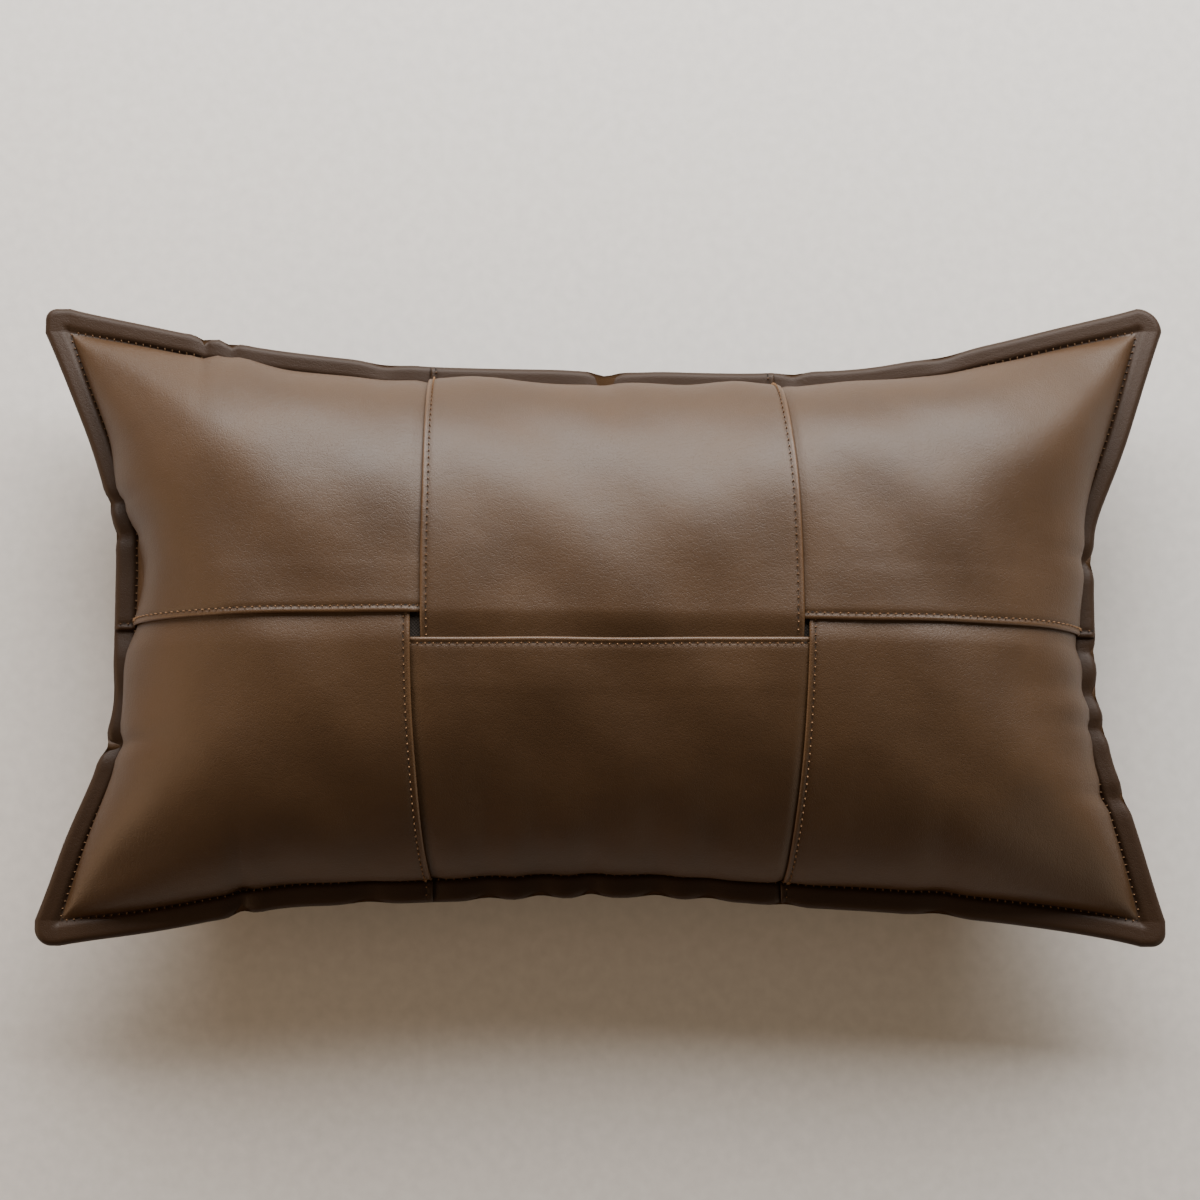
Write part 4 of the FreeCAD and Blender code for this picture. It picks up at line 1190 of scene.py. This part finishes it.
class PILLOW_OT_insert(bpy.types.Operator):
    """Makes the insert: a cotton casing in two halves, and its fibre filling"""

    bl_idname = "pillow.insert"
    bl_label = "Insert"

    ROWS = (60, 36)
    INSIDE = 0.008  # the insert's seam inside the cover's
    CLEAR = 0.002  # least height between the insert and the cover
    RIM_SHARE = 0.20  # share of the way in over which the front takes its own outline
    FULLNESS = 0.90
    CASING, FILLING_IN = 0.0006, 0.004  # the casing's thickness, and the filling's depth inside it

    def half(self, cover, side, sink):
        """Points of one face of the insert, which closes at its own seam."""
        u, v = np.meshgrid(*(np.linspace(-1, 1, n) for n in self.ROWS), indexing="ij")
        inner = [body - self.INSIDE - sink for body in cover.body]
        plain, leaning = (cover.outline(u * inner[0], v * inner[1], way) for way in (-1, side))
        own = smooth((1 - np.maximum(np.abs(u), np.abs(v))) / self.RIM_SHARE)
        x, y = (a + (b - a) * own for a, b in zip(plain, leaning))
        z = cover.point(u * cover.body[0], v * cover.body[1], side)[..., 2]
        z = cover.sizes.flange_height + (z - cover.sizes.flange_height) * (self.FULLNESS - sink * 8)
        near = cover.point(u * inner[0], v * inner[1], side)[..., 2] - side * self.CLEAR
        return np.stack([x, y, np.minimum(z, near) if side > 0 else np.maximum(z, near)], -1)

    def shell(self, name, faces_of):
        """A closed mesh from two faces over one grid that share their rim."""
        first, second = faces_of
        top, low, rim = two_faces(first.shape[:2])
        verts = np.concatenate([first.reshape(-1, 3), second.reshape(-1, 3)[~rim.ravel()]])
        faces = quads(top, False).tolist() + quads(low, True).tolist()
        piece = new_mesh(name, verts.tolist(), faces)
        piece.data.polygons.foreach_set("use_smooth", [True] * len(faces))
        return piece

    def execute(self, context):
        cover, colours = Work.cover, context.scene.pillow_colours
        cotton = finish_of("cotton", cloth_finish, "casing_cotton", colours.cotton, 1000.0)
        fibre = finish_of("fibre", plain_finish, "fibre_fill", colours.cotton, 0.95)
        for side, end in ((1, "front"), (-1, "back")):
            outer = self.half(cover, side, 0.0)
            inner = outer.copy()
            inner[1:-1, 1:-1, 2] -= side * self.CASING
            faces_of = (outer, inner) if side > 0 else (inner, outer)
            piece = self.shell(f"casing_{end}", faces_of)
            finish_piece(piece, cotton, "cover", [f"insert_casing_{end}"])
            flat = tuple(2 * (body - self.INSIDE) for body in cover.body)
        piece = self.shell("filling", [self.half(cover, side, self.FILLING_IN) for side in (1, -1)])
        finish_piece(piece, fibre, "cover", ["insert_filling"])
        return {"FINISHED"}


class PILLOW_OT_zip_ends(bpy.types.Operator):
    """Backs the closing gap past each end of the zip with a patch of tape"""

    bl_idname = "pillow.zip_ends"
    bl_label = "Zip ends"

    LENGTH, WIDTH = 0.018, 0.018

    def execute(self, context):
        sizes, colours, cover = context.scene.pillow_sizes, context.scene.pillow_colours, Work.cover
        tape = finish_of("tape", cloth_finish, "zip_tape_weave", colours.tape, 1800.0)
        middle = float(cover.flat_t(np.array([-sizes.zip_line]))[0])
        start = float(cover.flat_s(sizes.zip_reach)) + 0.0008
        for end, name in ((-1, "left"), (1, "right")):
            reach = np.sort(end * np.linspace(start, start + self.LENGTH, 13))
            s, t = np.meshgrid(reach, middle + np.linspace(-1, 1, 15) * self.WIDTH / 2, indexing="ij")
            rim = np.zeros(s.shape)
            rim[1:-1, 1:-1] = 0.0002
            piece = sheet_mesh("zip_end_" + name, cover, -1, s, t, -0.0003 - rim, -0.0003 + rim)
            finish_piece(piece, tape, "cover")
        return {"FINISHED"}


class PILLOW_OT_dress_zip(bpy.types.Operator):
    """Gives the zip's tapes, teeth, stops, slider and pull tab their finishes"""

    bl_idname = "pillow.dress_zip"
    bl_label = "Zip"

    def execute(self, context):
        colours = context.scene.pillow_colours
        tape = finish_of("tape", cloth_finish, "zip_tape_weave", colours.tape, 1800.0)
        brass = finish_of("brass", brass_finish, colours)
        for name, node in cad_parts.items():
            if name.startswith("zipper_"):
                node.data.materials.clear()
                node.data.materials.append(tape if "tape" in name else brass)
        return {"FINISHED"}


class PILLOW_OT_stage(bpy.types.Operator):
    """Sets the floor, the lights and the camera"""

    bl_idname = "pillow.stage"
    bl_label = "Stage"

    FLOOR_SIZE = 12.0
    LOOK_AT = (0.000, 0.0105, 0.060)
    DISTANCE = 1.30
    ELEVATION = 82.0
    VIEW_ANGLE = 22.6
    # name, place, power, size, colour, what it points at
    LIGHTS = (
        ("window", (0.10, 0.95, 0.70), 54, (1.9, 0.65), (1.0, 0.985, 0.96), (0.0, 0.12, 0.05)),
        ("lamp", (-1.4, -0.3, 0.50), 9, (0.8, 0.8), (1.0, 0.68, 0.42), (0.0, 0.0, 0.05)),
        ("room", (1.1, -0.8, 0.40), 4.5, (1.0, 0.8), (1.0, 0.82, 0.62), (0.0, 0.0, 0.05)),
        ("ceiling", (0.2, 0.3, 2.4), 1.5, (2.2, 2.2), (1.0, 0.92, 0.80), (0.0, 0.0, 0.05)),
    )
    ROOM_COLOUR, ROOM_LIGHT = (1.0, 0.80, 0.56, 1), 0.12

    def light(self, name, place, power, size, colour, aim):
        """An area light."""
        data = bpy.data.lights.new(name, "AREA")
        data.shape = "RECTANGLE"
        data.energy, data.color = power, colour
        data.size, data.size_y = size
        lamp = bpy.data.objects.new(name, data)
        bpy.context.scene.collection.objects.link(lamp)
        lamp.location = place
        lamp.rotation_euler = (Vector(aim) - Vector(place)).to_track_quat("-Z", "Y").to_euler()

    def execute(self, context):
        scene, colours = context.scene, context.scene.pillow_colours
        deselect()
        bpy.ops.mesh.primitive_plane_add(size=self.FLOOR_SIZE, location=(0, 0, 0))
        floor = context.object
        floor.name = "floor"
        floor.data.materials.append(plain_finish("pale_floor", colours.floor, 0.85))
        for light in self.LIGHTS:
            self.light(*light)
        world = bpy.data.worlds.new("soft_room")
        world.use_nodes = True
        background = world.node_tree.nodes["Background"]
        background.inputs["Color"].default_value = self.ROOM_COLOUR
        background.inputs["Strength"].default_value = self.ROOM_LIGHT
        scene.world = world
        data = bpy.data.cameras.new("camera")
        camera = bpy.data.objects.new("camera", data)
        scene.collection.objects.link(camera)
        data.sensor_width = data.sensor_height = 36.0
        data.sensor_fit = "HORIZONTAL"
        data.angle = math.radians(self.VIEW_ANGLE)
        tilt = math.radians(self.ELEVATION)
        back = Vector((0, -math.cos(tilt), math.sin(tilt)))
        camera.location = Vector(self.LOOK_AT) + self.DISTANCE * back
        camera.rotation_euler = (math.pi / 2 - tilt, 0, 0)
        data.clip_start = 0.05
        scene.camera = camera
        return {"FINISHED"}


class PILLOW_PT_panel(bpy.types.Panel):
    """Lists the pillow's sizes, colours and steps"""

    bl_idname = "PILLOW_PT_panel"
    bl_label = "Woven leather pillow"
    bl_space_type = "VIEW_3D"
    bl_region_type = "UI"
    bl_category = "Pillow"

    def draw(self, context):
        for group in (context.scene.pillow_sizes, context.scene.pillow_colours):
            for name in group.__annotations__:
                self.layout.prop(group, name)
        for step in STEPS:
            self.layout.operator(step.bl_idname)


STEPS = (
    PILLOW_OT_settle_cover,
    PILLOW_OT_insert,
    PILLOW_OT_lining,
    PILLOW_OT_weave_front,
    PILLOW_OT_back_panels,
    PILLOW_OT_stitching,
    PILLOW_OT_zip_ends,
    PILLOW_OT_dress_zip,
    PILLOW_OT_stage,
)
CLASSES = (PillowSizes, PillowColours, *STEPS, PILLOW_PT_panel)


def register():
    """Registers the classes and hangs the sizes and colours on the scene."""
    for each in CLASSES:
        bpy.utils.register_class(each)
    bpy.types.Scene.pillow_sizes = PointerProperty(type=PillowSizes)
    bpy.types.Scene.pillow_colours = PointerProperty(type=PillowColours)


def unregister():
    """Takes them away again."""
    del bpy.types.Scene.pillow_colours
    del bpy.types.Scene.pillow_sizes
    for each in reversed(CLASSES):
        bpy.utils.unregister_class(each)


def main():
    """Builds the whole pillow."""
    register()
    for step in STEPS:
        group, name = step.bl_idname.split(".")
        getattr(getattr(bpy.ops, group), name)()


if __name__ == "__main__":
    main()
